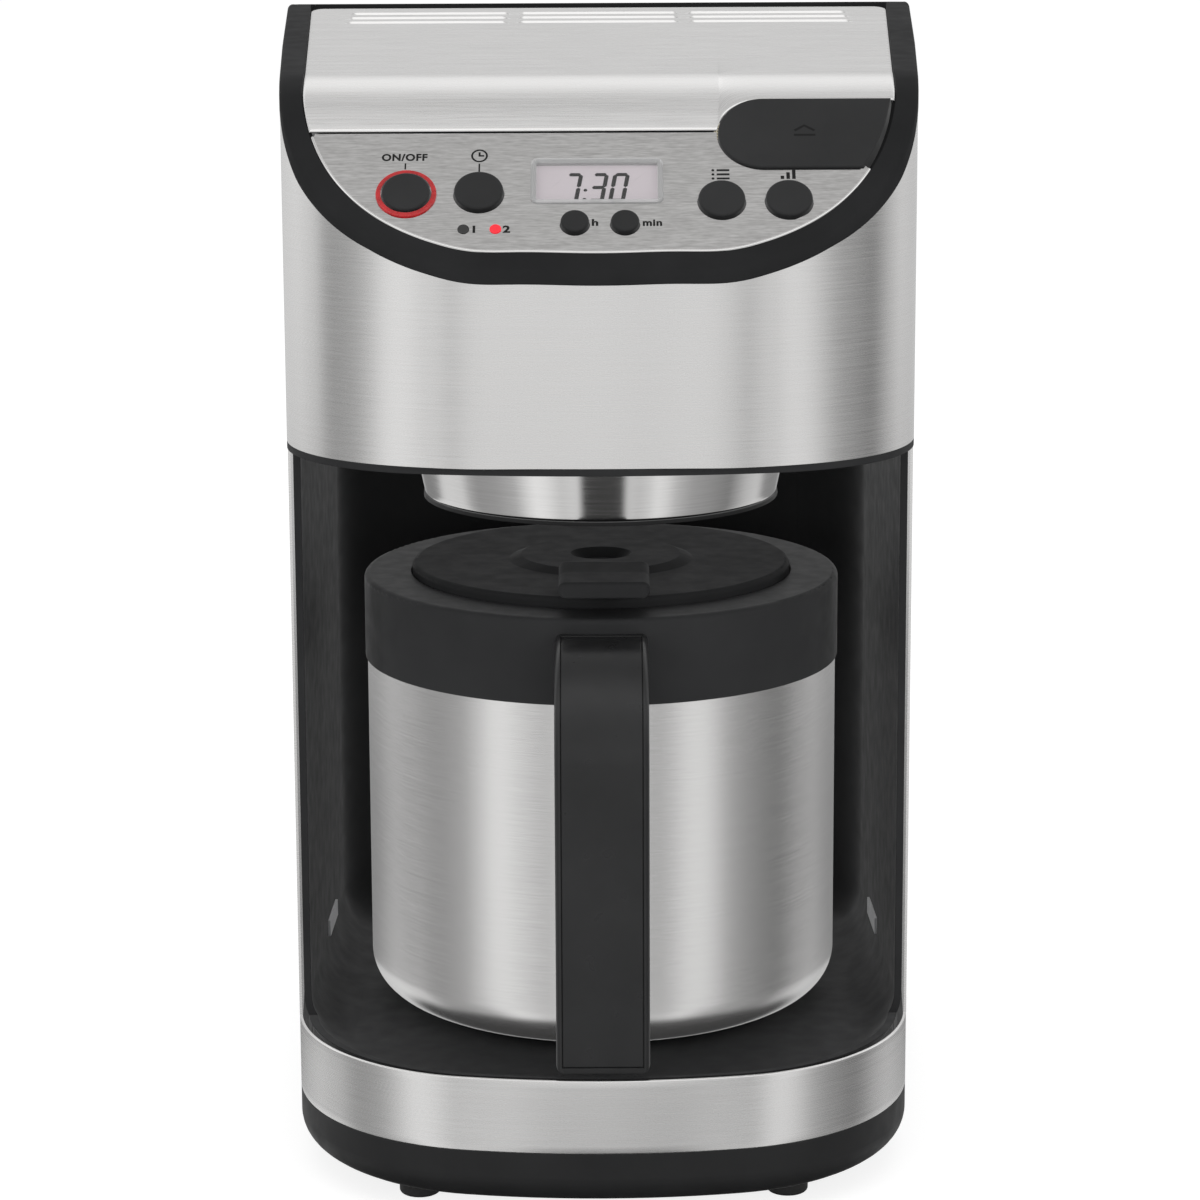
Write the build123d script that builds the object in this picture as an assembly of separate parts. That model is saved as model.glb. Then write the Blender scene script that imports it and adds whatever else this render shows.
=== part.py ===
"""Drip coffee maker with a thermal carafe, as separate named pieces.

All sizes are in millimetres. +X is right, the front of the machine faces -Y and +Z is up.
The origin is on the floor under the middle of the machine. A distance called v runs
backward from the front of the machine. On the sloped control panel, s runs up the slope
and d stands out of it.
"""

import math
import os

from build123d import *

# carafe, which sets the width and depth of the machine
SHELL_R = 76.6
SHELL_T = 1.0
SHELL_CORNER = 13.0
BODY_H = 114.5
COLLAR_LIP = 0.7
COLLAR_H = 27.2
BORE_R = 62.0
LEDGE_DROP = 4.7
NECK_R = 50.0
FLASK_GAP = 7.6
FOOT_DISC_T = 2.0

# carafe handle, screw lid and thumb lever
GRIP_V0 = 4.0
GRIP_REACH = 33.7
GRIP_T = 11.0
GRIP_W = 28.5
GRIP_BEND = 32.0
GRIP_TOP_DROP = 4.7
GRIP_LOW_RISE = 8.0
INLAY_SIDE = 2.05
INLAY_DROP = 0.3
INLAY_DEPTH = 0.9
INLAY_GROOVE = 0.25
LID_PLAY = 0.4
LID_RISE = 3.3
LEVER_W = 28.2
LEVER_X = 0.9
LEVER_AHEAD = 49.0
LEVER_RISE = 8.3
LEVER_PIN_R = 1.5
LEVER_EAR_IN = 4.5
LEVER_EAR_T = 3.0
LEVER_EAR_PLAY = 0.4

# room around the carafe
SIDE_GAP = 16.4
BACK_GAP = 4.7
CHEEK_V = 62.0
BAY_TAPER = 3.7
BAY_CORNER = 22.0
COVE_R = 14.0
WELL_DEPTH = 7.1
LEVER_ROOM = 26.3

# sheet and wall thicknesses
SHEET = 0.8
WALL = 2.3
COVER_WALL = 2.4
PLATE_T = 2.4
DECK_T = 3.0
WRAP_GAP = 0.1

# clearances
BUTTON_PLAY = 0.35
PIN_FIT = 0.05
SEAM_GAP = 1.0
PANEL_PLAY = 0.4

# plan of head and base
FLARE = math.tan(math.radians(3.7))
HEAD_FRONT_R = 285.0
HEAD_CORNER_R = 54.5
BASE_FRONT_R = 228.0
BASE_CORNER_R = 66.8
REAR_CORNER = 18.0
TRIM_DEPTH = 14.0

# base
FOOT_H = 8.0
FOOT_R = 6.5
SKIRT_Z = 5.7
SKIRT_ROUND = 9.0
BAND_Z0 = 22.8
BAND_H = 23.3

# head
SHROUD_H = 25.1
LIP = 2.2
FASCIA_H = 53.2
DECK_RISE = 30.5
RIM_R = 57.2
CONE_SLOPE = 0.2
SHROUD_FLANGE = 4.7
SHROUD_GAP = 1.0
SHROUD_SHEET = 1.2

# sloped top
SLOPE_DEG = 44.0
LID_DEG = 5.0
BEND_S = 78.0
BEND_R = 38.0
FALL_DEG = 38.0
FALL_R = 10.0
JOINT_DROP = 2.5
BEZEL_RISE = 1.0
BEZEL_PROUD = 0.9
BEZEL_INSET = 7.4
BEZEL_ROUND = 1.6
SEAM_S = 57.75
SKIN_T = 1.2
LINER_T = 2.4
LID_CORNER = 2.0

# louvres of the lid: rows backward from the front, and three groups side by side
LOUVRE_PITCH = 10.5
LOUVRE_ROWS = 3
LOUVRE_LEN = 54.4
LOUVRE_STEP = 57.5
LOUVRE_R = 2.2
LOUVRE_PROUD = 0.8
LOUVRE_SLOT = 1.4
LOUVRE_BEHIND = 18.3

# buttons: name, across, up the slope, radius
BUTTONS = (
    ("power_button", -56.9, 33.5, 7.15),
    ("auto_button", -35.5, 33.8, 7.25),
    ("hour_button", -7.2, 22.1, 4.15),
    ("minute_button", 7.5, 22.1, 4.15),
    ("program_button", 36.0, 30.5, 6.9),
    ("strength_button", 55.8, 30.5, 6.9),
)
BUTTON_PROUD = 1.9
BUTTON_ROUND = 0.8
RING_R = 9.0
LIGHTS = ((-39.8, 20.2), (-30.4, 20.2))
LIGHT_R = 1.75
LCD_X = -0.7
LCD_S = 38.4
LCD_W = 39.2
LCD_H = 17.4
LCD_CORNER = 2.2
LCD_PROUD = 0.9
OPEN_X = 49.1
OPEN_S = 56.45
OPEN_R = 13.65
OPEN_PROUD = 0.9
CARRIER_T = 3.2
BOARD_D = 12.0

# lid hinge
HINGE_AHEAD = 6.5
HINGE_DROP = 5.0
HINGE_INSET = 7.0
PIN_R = 1.6

# filter basket, mesh filter and drip stop
BASKET_R = 67.0
BASKET_FLANGE_R = 74.5
BASKET_LIFT = 3.0
BASKET_T = 1.6
MESH_LIFT = 21.0
MESH_PLAY = 0.8
MESH_T = 0.9
VALVE_R = 2.5
VALVE_TIP_DROP = 9.5

# water path
TANK_DEPTH = 30.5
TANK_GAP = 1.2
TANK_T = 2.0
TANK_RISE = 15.9
REAR_GAP = 2.6
HEAT_R = 34.0
HEAT_PIPE_R = 5.2
WATER_PIPE_R = 4.4
HEAT_UP = 9.6
HOSE_R = 4.2
HOSE_BORE = 3.4
OUTLET_X = 60.0

# long enough for a cut to pass right through the machine
FAR = 600.0

# heights worked out from the sizes above
PLATE_Z1 = FOOT_H + PLATE_T
BAND_Z1 = BAND_Z0 + BAND_H
BAY_FLOOR = BAND_Z1 - WELL_DEPTH
COLLAR_Z0 = BAY_FLOOR + BODY_H
COLLAR_Z1 = COLLAR_Z0 + COLLAR_H
LEDGE_Z = COLLAR_Z1 - LEDGE_DROP
LEVER_Z = COLLAR_Z1 + LEVER_RISE
RIM_Z = COLLAR_Z1 + LEVER_ROOM
BAY_TOP = RIM_Z + SHROUD_H
PANEL_Z0 = BAY_TOP + LIP
FLOOR_Z1 = PANEL_Z0 + 0.6
NOSE_Z = PANEL_Z0 + FASCIA_H
DECK_Z1 = NOSE_Z + DECK_RISE
DECK_Z0 = DECK_Z1 - DECK_T
BASKET_Z0 = RIM_Z + BASKET_LIFT
SEAT_Z = BASKET_Z0 + 2.0
BASKET_FLOOR_R = RIM_R - 7.5
MESH_Z0 = BASKET_Z0 + MESH_LIFT
TANK_Z0 = BAND_Z1 + TANK_RISE
TANK_STEP_Z = PANEL_Z0 + 3.7
HEAT_Z = PLATE_Z1 + HEAT_PIPE_R + 1.9
WATER_Z = HEAT_Z + HEAT_UP
SHROUD_TOP_R = RIM_R + CONE_SLOPE * (FLOOR_Z1 - RIM_Z)
SHROUD_R = SHROUD_TOP_R + SHROUD_FLANGE

# plan positions worked out from the sizes above
COLLAR_R = SHELL_R + COLLAR_LIP
AXIS_V = GRIP_V0 + GRIP_REACH + COLLAR_R
BAY_BACK_V = AXIS_V + max(COLLAR_R + BACK_GAP, SHROUD_R + SHROUD_GAP)
BAY_HALF_F = COLLAR_R + SIDE_GAP
BAY_HALF_B = BAY_HALF_F - BAY_TAPER
BAY_LEAN = -BAY_TAPER / (BAY_BACK_V - CHEEK_V)
FLANK_X = BAY_HALF_F + WALL + WRAP_GAP + SHEET - FLARE * CHEEK_V
TANK_V1 = BAY_BACK_V + WALL + TANK_GAP + TANK_DEPTH
DEPTH = TANK_V1 + REAR_GAP + COVER_WALL
FRONT = (BEZEL_PROUD - DEPTH) / 2.0
SPLIT_V = DEPTH - TRIM_DEPTH
RAIL_V = SPLIT_V - 3.0
HINGE_V = RAIL_V - HINGE_AHEAD
TANK_V0 = AXIS_V + BASKET_FLANGE_R + 1.0
HINGE_X = BAY_HALF_B - HINGE_INSET
LEVER_V = AXIS_V - LEVER_AHEAD
RISER_V = BAY_BACK_V - 11.0

# sloped plane of the control panel and shallower plane of the lid
SLOPE_SIN = math.sin(math.radians(SLOPE_DEG))
SLOPE_COS = math.cos(math.radians(SLOPE_DEG))
LID_SIN = math.sin(math.radians(LID_DEG))
LID_COS = math.cos(math.radians(LID_DEG))
FALL_SIN = math.sin(math.radians(FALL_DEG))
FALL_COS = math.cos(math.radians(FALL_DEG))
BASE_V = -JOINT_DROP * SLOPE_SIN
BASE_Z = NOSE_Z + JOINT_DROP * SLOPE_COS
BEND_V = BASE_V + BEND_S * SLOPE_COS
BEND_Z = BASE_Z + BEND_S * SLOPE_SIN
SLOPE = Plane(origin=(0, FRONT + BASE_V, BASE_Z), x_dir=(1, 0, 0), z_dir=(0, -SLOPE_SIN, SLOPE_COS))
OUT_OF_SLOPE = Axis((0, 0, 0), (0, -SLOPE_SIN, SLOPE_COS))
PANEL_INSET = BEZEL_INSET + PANEL_PLAY
HINGE_Z = BEND_Z + (HINGE_V - BEND_V) * LID_SIN / LID_COS - HINGE_DROP

# places that several pieces share
SIDES = (-1.0, 1.0)
FEET = tuple((side * x, v) for x, v in ((BAY_HALF_F - 36.4, 28.5), (BAY_HALF_B - 10.0, DEPTH - 32.0))
             for side in SIDES)
BOSSES = tuple((side * (HEAT_R + 16.0), v) for v in (AXIS_V - 53.0, AXIS_V + 61.0) for side in SIDES)
REAR_SCREWS = tuple((side * (BAY_HALF_B - 4.0), z) for z in (BAND_Z1 + 13.9, NOSE_Z + 12.5) for side in SIDES)
POSTS = ((-46.0, 24.5), (46.0, 24.5), (-66.0, 44.0), (24.0, 44.0))
INLET = (-62.0, PLATE_Z1 + 25.6)
OUTLET = (OUTLET_X, TANK_V1 - 15.0)
RISER_X = -(BAY_HALF_F + BAY_LEAN * (RISER_V - CHEEK_V) + WALL + HOSE_R + 0.4)
RISER = (RISER_X, RISER_V)
HEAT_V = AXIS_V - 3.0
HEAT_END_V = HEAT_V + 46.0


def tangent_plan(front_r, corner_r, line_x, lean, front_v, rear_v, rear_r):
    """Closed symmetrical plan of a front arc, corner arcs, straight flanks and a rounded rear.

    The right flank passes through line_x level with the front and moves outward by lean per
    unit of depth. The corner arcs touch the front arc and the flanks.
    """
    size = math.hypot(1.0, lean)
    out = (1.0 / size, -lean / size)
    along = (lean / size, 1.0 / size)
    start = (line_x - out[0] * corner_r, -out[1] * corner_r)
    focus = (0.0, front_v + front_r)
    offset = (start[0] - focus[0], start[1] - focus[1])
    half_b = offset[0] * along[0] + offset[1] * along[1]
    c = offset[0] ** 2 + offset[1] ** 2 - (front_r - corner_r) ** 2
    run = -half_b - math.sqrt(half_b**2 - c)
    centre = (start[0] + along[0] * run, start[1] + along[1] * run)
    span = math.dist(centre, focus)
    away = ((centre[0] - focus[0]) / span, (centre[1] - focus[1]) / span)
    half = math.hypot(away[0] + out[0], away[1] + out[1])
    between = ((away[0] + out[0]) / half, (away[1] + out[1]) / half)

    def spot(way):
        return (centre[0] + way[0] * corner_r, FRONT + centre[1] + way[1] * corner_r)

    def flip(point):
        return (-point[0], point[1])

    first, second, third = spot(away), spot(between), spot(out)
    tail = (line_x + lean * rear_v, FRONT + rear_v)
    edges = [
        ThreePointArc(flip(first), (0.0, FRONT + front_v), first),
        ThreePointArc(first, second, third),
        Line(third, tail),
        Line(tail, flip(tail)),
        Line(flip(tail), flip(third)),
        ThreePointArc(flip(third), flip(second), flip(first)),
    ]
    face = make_face(Curve() + edges)
    return fillet(face.vertices().sort_by(Axis.Y)[-2:], rear_r)


def machine_plan(front_r, corner_r, inset):
    """Plan of the machine, moved inward by inset."""
    line_x = FLANK_X - inset * math.hypot(1.0, FLARE)
    rear_r = max(4.0, REAR_CORNER - inset)
    return tangent_plan(front_r - inset, corner_r - inset, line_x, FLARE, inset, DEPTH - inset, rear_r)


def upright(face, z0, z1):
    """Upright block on a plan."""
    return Pos(0, 0, z0) * extrude(face, z1 - z0, dir=(0, 0, 1))


def head_block(inset, z0, z1):
    """Upright block on the head plan."""
    return upright(machine_plan(HEAD_FRONT_R, HEAD_CORNER_R, inset), z0, z1)


def head_column(inset):
    """Head plan carried through every height."""
    return head_block(inset, -FAR, FAR)


def base_block(inset, z0, z1):
    """Upright block on the base plan."""
    return upright(machine_plan(BASE_FRONT_R, BASE_CORNER_R, inset), z0, z1)


def bay_half(v):
    """Half width of the bay between its side walls."""
    return BAY_HALF_F + BAY_LEAN * (v - CHEEK_V)


def bay_block(inset, grow, z0, z1, cove):
    """Bay space with a coved floor edge: base plan in front, straight walls behind."""
    line_x = bay_half(0.0) + grow * math.hypot(1.0, BAY_LEAN)
    front_r = BASE_FRONT_R - inset
    corner_r = BASE_CORNER_R - inset
    face = tangent_plan(front_r, corner_r, line_x, BAY_LEAN, inset, BAY_BACK_V + grow, BAY_CORNER + grow)
    body = upright(face, z0, z1)
    return fillet(body.faces().sort_by(Axis.Z)[0].edges(), cove)


def cyl(r, z0, z1, x=0.0, v=AXIS_V):
    """Upright cylinder."""
    return Pos(x, FRONT + v, 0.5 * (z0 + z1)) * Cylinder(r, z1 - z0)


def ring(ro, ri, z0, z1, x=0.0, v=AXIS_V):
    """Upright ring."""
    return cyl(ro, z0, z1, x, v) - cyl(ri, z0 - 1.0, z1 + 1.0, x, v)


def block(x0, x1, v0, v1, z0, z1):
    """Box between two corners."""
    middle = ((x0 + x1) / 2.0, FRONT + (v0 + v1) / 2.0, (z0 + z1) / 2.0)
    return Pos(*middle) * Box(abs(x1 - x0), v1 - v0, z1 - z0)


def behind(v):
    """Everything behind v."""
    return block(-FAR, FAR, v, FAR, -FAR, FAR)


def ahead(v, z0=-FAR, z1=FAR):
    """Everything in front of v, between two heights."""
    return block(-FAR, FAR, -FAR, v, z0, z1)


def profile(points, rounds):
    """Closed outline through points, with a radius at some of them.

    Each entry of rounds is a point's number and the radius there.
    """
    face = make_face(Polyline(*points, close=True))
    for number, radius in rounds:
        spot = (points[number][0], points[number][1], 0)
        face = fillet(face.vertices().sort_by_distance(spot)[0], radius)
    return face


def turned(points, rounds=()):
    """Body of revolution about the carafe's axis from (radius, height) points."""
    face = Plane.XZ * profile(points, rounds)
    return Pos(0, FRONT + AXIS_V, 0) * revolve(face, axis=Axis.Z)


def from_side(points, half, rounds=()):
    """Block with a side outline of (v, height) points, reaching half to each side."""
    face = profile([(FRONT + v, z) for v, z in points], rounds)
    return extrude(Plane.YZ * face, half, both=True)


def rod(r, x0, x1, v, z):
    """Cylinder lying across the machine."""
    return Pos((x0 + x1) / 2.0, FRONT + v, z) * Rotation(0, 90, 0) * Cylinder(r, abs(x1 - x0))


def spike(r, v0, v1, x, z):
    """Cylinder pointing backward."""
    return Pos(x, FRONT + (v0 + v1) / 2.0, z) * Rotation(90, 0, 0) * Cylinder(r, v1 - v0)


def crossing(first, rise, second, other_rise):
    """Where a line through one point meets a line through another, each with its rise."""
    v = (second[1] - first[1] + rise * first[0] - other_rise * second[0]) / (rise - other_rise)
    return (v, first[1] + rise * (v - first[0]))


def crown(d):
    """Everything under the top surface moved by d along its normals."""
    slope = (BASE_V - d * SLOPE_SIN, BASE_Z + d * SLOPE_COS)
    lid = (BEND_V - d * LID_SIN, BEND_Z + d * LID_COS)
    fall = (SPLIT_V + d * FALL_SIN, lid_top(SPLIT_V) + d * FALL_COS)
    steep = SLOPE_SIN / SLOPE_COS
    gentle = LID_SIN / LID_COS
    down = -FALL_SIN / FALL_COS
    first_v = slope[0] - 0.5 * slope[1] / steep
    last_v = SPLIT_V + DEPTH
    points = [
        (first_v, 0.0),
        (first_v, slope[1] + steep * (first_v - slope[0])),
        crossing(slope, steep, lid, gentle),
        crossing(lid, gentle, fall, down),
        (last_v, fall[1] + down * (last_v - fall[0])),
        (last_v, 0.0),
    ]
    return from_side(points, FAR, rounds=((2, BEND_R + d), (3, FALL_R + d)))


def lid_top(v):
    """Height of the top surface behind the bend."""
    return BEND_Z + (v - BEND_V) * LID_SIN / LID_COS


def on_slope(shape, x, s, d):
    """Place a shape on the sloped plane."""
    return SLOPE.location * Pos(x, s, d) * shape


def slope_box(x0, x1, s0, s1, d0, d1):
    """Box standing on the sloped plane."""
    middle = ((x0 + x1) / 2.0, (s0 + s1) / 2.0, (d0 + d1) / 2.0)
    return on_slope(Box(x1 - x0, s1 - s0, d1 - d0), *middle)


def below_seam(s):
    """Everything on the panel's side of a line across the slope."""
    return slope_box(-FAR, FAR, -FAR, s, -FAR, FAR)


def peg(r, d0, d1, x, s):
    """Cylinder standing on the sloped plane."""
    return on_slope(Cylinder(r, d1 - d0), x, s, 0.5 * (d0 + d1))


def pill(grow, d0, d1):
    """Lid button outline, round on the left and open to the right."""
    r = OPEN_R + grow
    bar = slope_box(OPEN_X, OPEN_X + FAR, OPEN_S - r, OPEN_S + r, d0, d1)
    return bar + peg(r, d0, d1, OPEN_X, OPEN_S)


def window(grow, corner, d0, d1):
    """Rounded window of the display."""
    face = RectangleRounded(LCD_W + 2.0 * grow, LCD_H + 2.0 * grow, corner)
    return on_slope(extrude(face, d1 - d0), LCD_X, LCD_S, d0)


def rounded_top(shape, radius):
    """Round the outer edges of the face that looks out of the slope."""
    top = shape.faces().sort_by(OUT_OF_SLOPE)[-1]
    return fillet(top.edges(), radius)


def hose(points, bend):
    """Hose along straight runs through (x, v, z) points with rounded turns."""
    path = FilletPolyline(*[(x, FRONT + v, z) for x, v, z in points], radius=bend)
    start = Plane(origin=path @ 0, z_dir=path % 0)
    return sweep(start * Circle(HOSE_R), path) - sweep(start * Circle(HOSE_BORE), path)


def base_tub():
    """Black skirt with a stepped inside, an upstand behind the band and sockets for the feet."""
    tub = base_block(0.0, SKIRT_Z, BAND_Z0)
    tub = fillet(tub.faces().sort_by(Axis.Z)[0].edges(), SKIRT_ROUND)
    lip = SKIRT_ROUND + 5.0
    tub -= base_block(3.0, SKIRT_Z + SKIRT_ROUND + 1.3, FAR)
    tub -= base_block(6.5, SKIRT_Z + 5.3, FAR)
    tub -= base_block(lip - 0.4, FOOT_H, FAR)
    tub -= base_block(lip + 3.0, -FAR, FAR)
    upstand = base_block(SHEET, BAND_Z0 - 1.0, BAND_Z1 - 3.1) - base_block(SHEET + 1.8, -FAR, FAR)
    tub += upstand - behind(SPLIT_V - 1.0)
    for x, v in FEET:
        tub -= cyl(FOOT_R + 0.2, -FAR, FOOT_H, x, v)
    return tub


def base_plate():
    """Bottom plate with vent slots and screw holes."""
    plate = base_block(SKIRT_ROUND + 5.0, FOOT_H, PLATE_Z1)
    for i in range(7):
        v = AXIS_V - 23.0 + 8.0 * i
        plate -= block(-24, 24, v, v + 3.0, 0, FAR)
    for x, v in BOSSES:
        plate -= cyl(1.8, -FAR, FAR, x, v)
    return plate


def rubber_feet():
    """Four feet with rounded soles."""
    feet = []
    for x, v in FEET:
        foot = cyl(FOOT_R, 0, FOOT_H, x, v)
        feet.append(fillet(foot.edges().sort_by(Axis.Z)[0], 1.2))
    return Compound(children=feet)


def base_screws():
    """Slotted screws that hold the bottom plate to the bay."""
    screws = []
    for x, v in BOSSES:
        head = cyl(3.6, FOOT_H - 1.6, FOOT_H, x, v) - block(x - 3, x + 3, v - 0.5, v + 0.5, 0, FOOT_H - 0.8)
        screws.append(head + cyl(1.6, FOOT_H - 0.5, PLATE_Z1 + 13.6, x, v))
    return Compound(children=screws)


def base_band():
    """Steel band around the base."""
    band = base_block(0.0, BAND_Z0, BAND_Z1) - base_block(SHEET, -FAR, FAR)
    return band - behind(SPLIT_V)


def bay_liner():
    """Black lining of the bay: coved floor, side walls, back, and the screw bosses under it."""
    liner = bay_block(SHEET, WALL, BAY_FLOOR - WALL, BAY_TOP, COVE_R + 2.0)
    liner -= bay_block(SHEET + 1.4, 0.0, BAY_FLOOR, BAY_TOP + 2.0 * COVE_R, COVE_R)
    liner -= ahead(CHEEK_V, BAND_Z1, FAR)
    for x, v in BOSSES:
        liner += cyl(4.5, PLATE_Z1, BAY_FLOOR - 0.5, x, v) - cyl(1.6, -FAR, PLATE_Z1 + 13.6, x, v)
    return liner


def bay_pads():
    """Two small pads on the side walls, level with the carafe's body."""
    pads = []
    pad_v = AXIS_V + 18.0
    for side in SIDES:
        spot = Pos(side * (bay_half(pad_v) - 0.42), FRONT + pad_v, BAY_FLOOR + 17.0)
        turn = Rotation(0, 0, -side * math.degrees(math.atan(BAY_LEAN)))
        pads.append(spot * turn * Box(0.8, 24.0, 5.4))
    return Compound(children=pads)


def steel_wrap():
    """Brushed sheet around the head, with two cheeks that reach down beside the bay."""
    wrap = head_block(0.0, BAND_Z1, FAR) - head_column(SHEET)
    wrap &= crown(-JOINT_DROP)
    return wrap - behind(SPLIT_V) - ahead(CHEEK_V, -FAR, PANEL_Z0)


def rear_cover():
    """Moulded back with vent slots, screw seats and the hole of the cord inlet."""
    cover = head_block(0.0, BAND_Z0, FAR) - head_column(COVER_WALL)
    cover &= crown(-JOINT_DROP)
    cover -= ahead(SPLIT_V)
    for i in range(9):
        z = PANEL_Z0 + 27.7 + 6.0 * i
        cover -= block(-42, 42, DEPTH - 6.0, DEPTH + 2.0, z, z + 3.0)
    cover -= spike(7.0, DEPTH - 8.0, DEPTH + 2.0, *INLET)
    for x, z in REAR_SCREWS:
        cover -= spike(3.8, DEPTH - 1.2, DEPTH + 1.0, x, z)
        cover -= spike(1.7, DEPTH - 6.0, DEPTH + 1.0, x, z)
    return cover


def rear_screws():
    """Cross-headed screws of the rear cover."""
    screws = []
    for x, z in REAR_SCREWS:
        head = spike(3.6, DEPTH - 1.2, DEPTH - 0.1, x, z)
        head -= Pos(x, FRONT + DEPTH - 0.1, z) * Box(4.4, 1.0, 0.9)
        head -= Pos(x, FRONT + DEPTH - 0.1, z) * Box(0.9, 1.0, 4.4)
        screws.append(head + spike(1.6, DEPTH - 4.4, DEPTH - 1.0, x, z))
    return Compound(children=screws)


def cord_inlet():
    """Gland that the mains lead would pass through."""
    gland = spike(7.0, DEPTH - 7.4, DEPTH - 0.2, *INLET)
    gland += spike(10.0, DEPTH - COVER_WALL - 3.0, DEPTH - COVER_WALL, *INLET)
    return gland - spike(3.7, DEPTH - 9.0, DEPTH + 1.0, *INLET)


def head_floor():
    """Lip under the fascia and the ceiling of the bay, with a hole for the shroud."""
    floor = head_block(0.0, BAY_TOP, PANEL_Z0) - behind(CHEEK_V - 0.1)
    floor += head_block(SHEET, BAY_TOP, FLOOR_Z1) - behind(BAY_BACK_V + WALL)
    floor -= cyl(SHROUD_TOP_R + 0.2, -FAR, FAR)
    return floor - cyl(HOSE_R + 0.2, -FAR, FAR, *RISER)


def head_deck():
    """Deck under the lid, with the basket's hole and the filling mouth of the tank."""
    deck = head_block(SHEET, DECK_Z0, DECK_Z1) - behind(SPLIT_V - 1.0)
    deck += head_block(COVER_WALL, DECK_Z0, DECK_Z1)
    deck -= ahead(BEND_V - 9.9)
    deck -= cyl(BASKET_R + 3.4, -FAR, FAR)
    deck -= block(-BAY_HALF_B + 8.0, BAY_HALF_B - 8.0, TANK_V0 + TANK_T, RAIL_V - 1.5, -FAR, FAR)
    return deck - cyl(HOSE_R + 0.2, -FAR, FAR, *RISER)


def opening(inset, rear_v, corner):
    """Head plan through every height, closed behind by a straight edge with rounded corners."""
    line_x = FLANK_X - inset * math.hypot(1.0, FLARE)
    face = tangent_plan(HEAD_FRONT_R - inset, HEAD_CORNER_R - inset, line_x, FLARE, inset, rear_v, corner)
    return upright(face, -FAR, FAR)


def brim(shape):
    """Outer edges of the faces that look up."""
    tops = shape.faces().filter_by(lambda face: face.normal_at(face.center()).Z > 0.3)
    edges = tops.edges()
    return [edge for edge in edges if sum(edge.is_same(other) for other in edges) == 1]


def top_bezel():
    """Black frame that follows the bent top and covers the edge of the sheet."""
    cap = head_block(-BEZEL_PROUD, PANEL_Z0, FAR) & crown(BEZEL_RISE) & ahead(DEPTH)
    cap = fillet(brim(cap), BEZEL_ROUND) - crown(-JOINT_DROP)
    skirt = head_column(SHEET) & (crown(-JOINT_DROP + 0.1) - crown(-9.0))
    skirt -= behind(SPLIT_V - 0.6)
    return cap + skirt - opening(BEZEL_INSET, RAIL_V, LID_CORNER)


def hinge_brackets():
    """Two posts on the deck, each with a pin that points inward."""
    brackets = []
    for side in SIDES:
        inner, outer = side * (HINGE_X - 3.0), side * (HINGE_X + 3.0)
        post = block(inner, outer, HINGE_V - 2.0 * PIN_R, HINGE_V + 2.0 * PIN_R, DECK_Z1, HINGE_Z)
        post += rod(2.0 * PIN_R, inner, outer, HINGE_V, HINGE_Z)
        brackets.append(post + rod(PIN_R, side * (HINGE_X - 13.5), side * (HINGE_X - 2.0), HINGE_V, HINGE_Z))
    return Compound(children=brackets)


def control_panel():
    """Brushed plate of the controls, with its holes."""
    panel = head_column(PANEL_INSET) & slope_box(-FAR, FAR, -FAR, SEAM_S - SEAM_GAP / 2.0, -SKIN_T, 0.0)
    for name, x, s, r in BUTTONS:
        hole_r = RING_R + 0.05 if name == "power_button" else r + BUTTON_PLAY
        panel -= peg(hole_r, -FAR, FAR, x, s)
    for x, s in LIGHTS:
        panel -= peg(LIGHT_R + 0.05, -FAR, FAR, x, s)
    panel -= window(0.0, LCD_CORNER, -FAR, FAR)
    return panel - pill(PANEL_PLAY, -FAR, FAR)


def panel_carrier():
    """Moulded carrier under the plate, with posts for the board."""
    low = -SKIN_T - CARRIER_T
    carrier = head_column(PANEL_INSET + 2.2) & slope_box(-FAR, FAR, 12.5, SEAM_S - 1.2, low, -SKIN_T)
    for name, x, s, r in BUTTONS:
        carrier -= peg(r + BUTTON_PLAY, -FAR, FAR, x, s)
    for x, s in LIGHTS:
        carrier -= peg(LIGHT_R + 0.05, -FAR, FAR, x, s)
    carrier -= window(-1.6, 0.5, -FAR, FAR)
    carrier -= pill(PANEL_PLAY, -FAR, FAR)
    for x, s in POSTS:
        carrier += peg(2.4, -BOARD_D, low + 0.4, x, s)
    return carrier


def light_ring():
    """Red ring around the power button."""
    name, x, s, r = BUTTONS[0]
    outer = rounded_top(peg(RING_R, -SKIN_T, 0.9, x, s), 0.5)
    return outer - peg(r + BUTTON_PLAY, -FAR, FAR, x, s)


def indicator_lights():
    """Two light pipes."""
    return Compound(children=[rounded_top(peg(LIGHT_R, -6.0, 0.4, x, s), 0.3) for x, s in LIGHTS])


def lcd_glass():
    """Window over the display, with a rounded rim."""
    return rounded_top(window(0.0, LCD_CORNER, -SKIN_T, LCD_PROUD), 0.7)


def lcd_module():
    """Display under the window."""
    return window(-1.6, 0.5, -SKIN_T - 6.3, -SKIN_T)


def control_board():
    """Circuit board behind the carrier."""
    return slope_box(-69.0, 69.0, 14.5, 46.5, -BOARD_D - 1.6, -BOARD_D)


def tact_switches():
    """Small switches under the push buttons."""
    return Compound(children=[slope_box(x - 3, x + 3, s - 3, s + 3, -BOARD_D, -BOARD_D + 1.4)
                              for name, x, s, r in BUTTONS])


def push_button(x, s, r):
    """Round button with a flange under the carrier and a stem above its switch."""
    knob = rounded_top(peg(r, -4.9, BUTTON_PROUD, x, s), BUTTON_ROUND)
    knob += peg(r + 1.2, -6.2, -4.9, x, s)
    return knob + peg(2.0, -BOARD_D + 3.0, -6.0, x, s)


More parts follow.
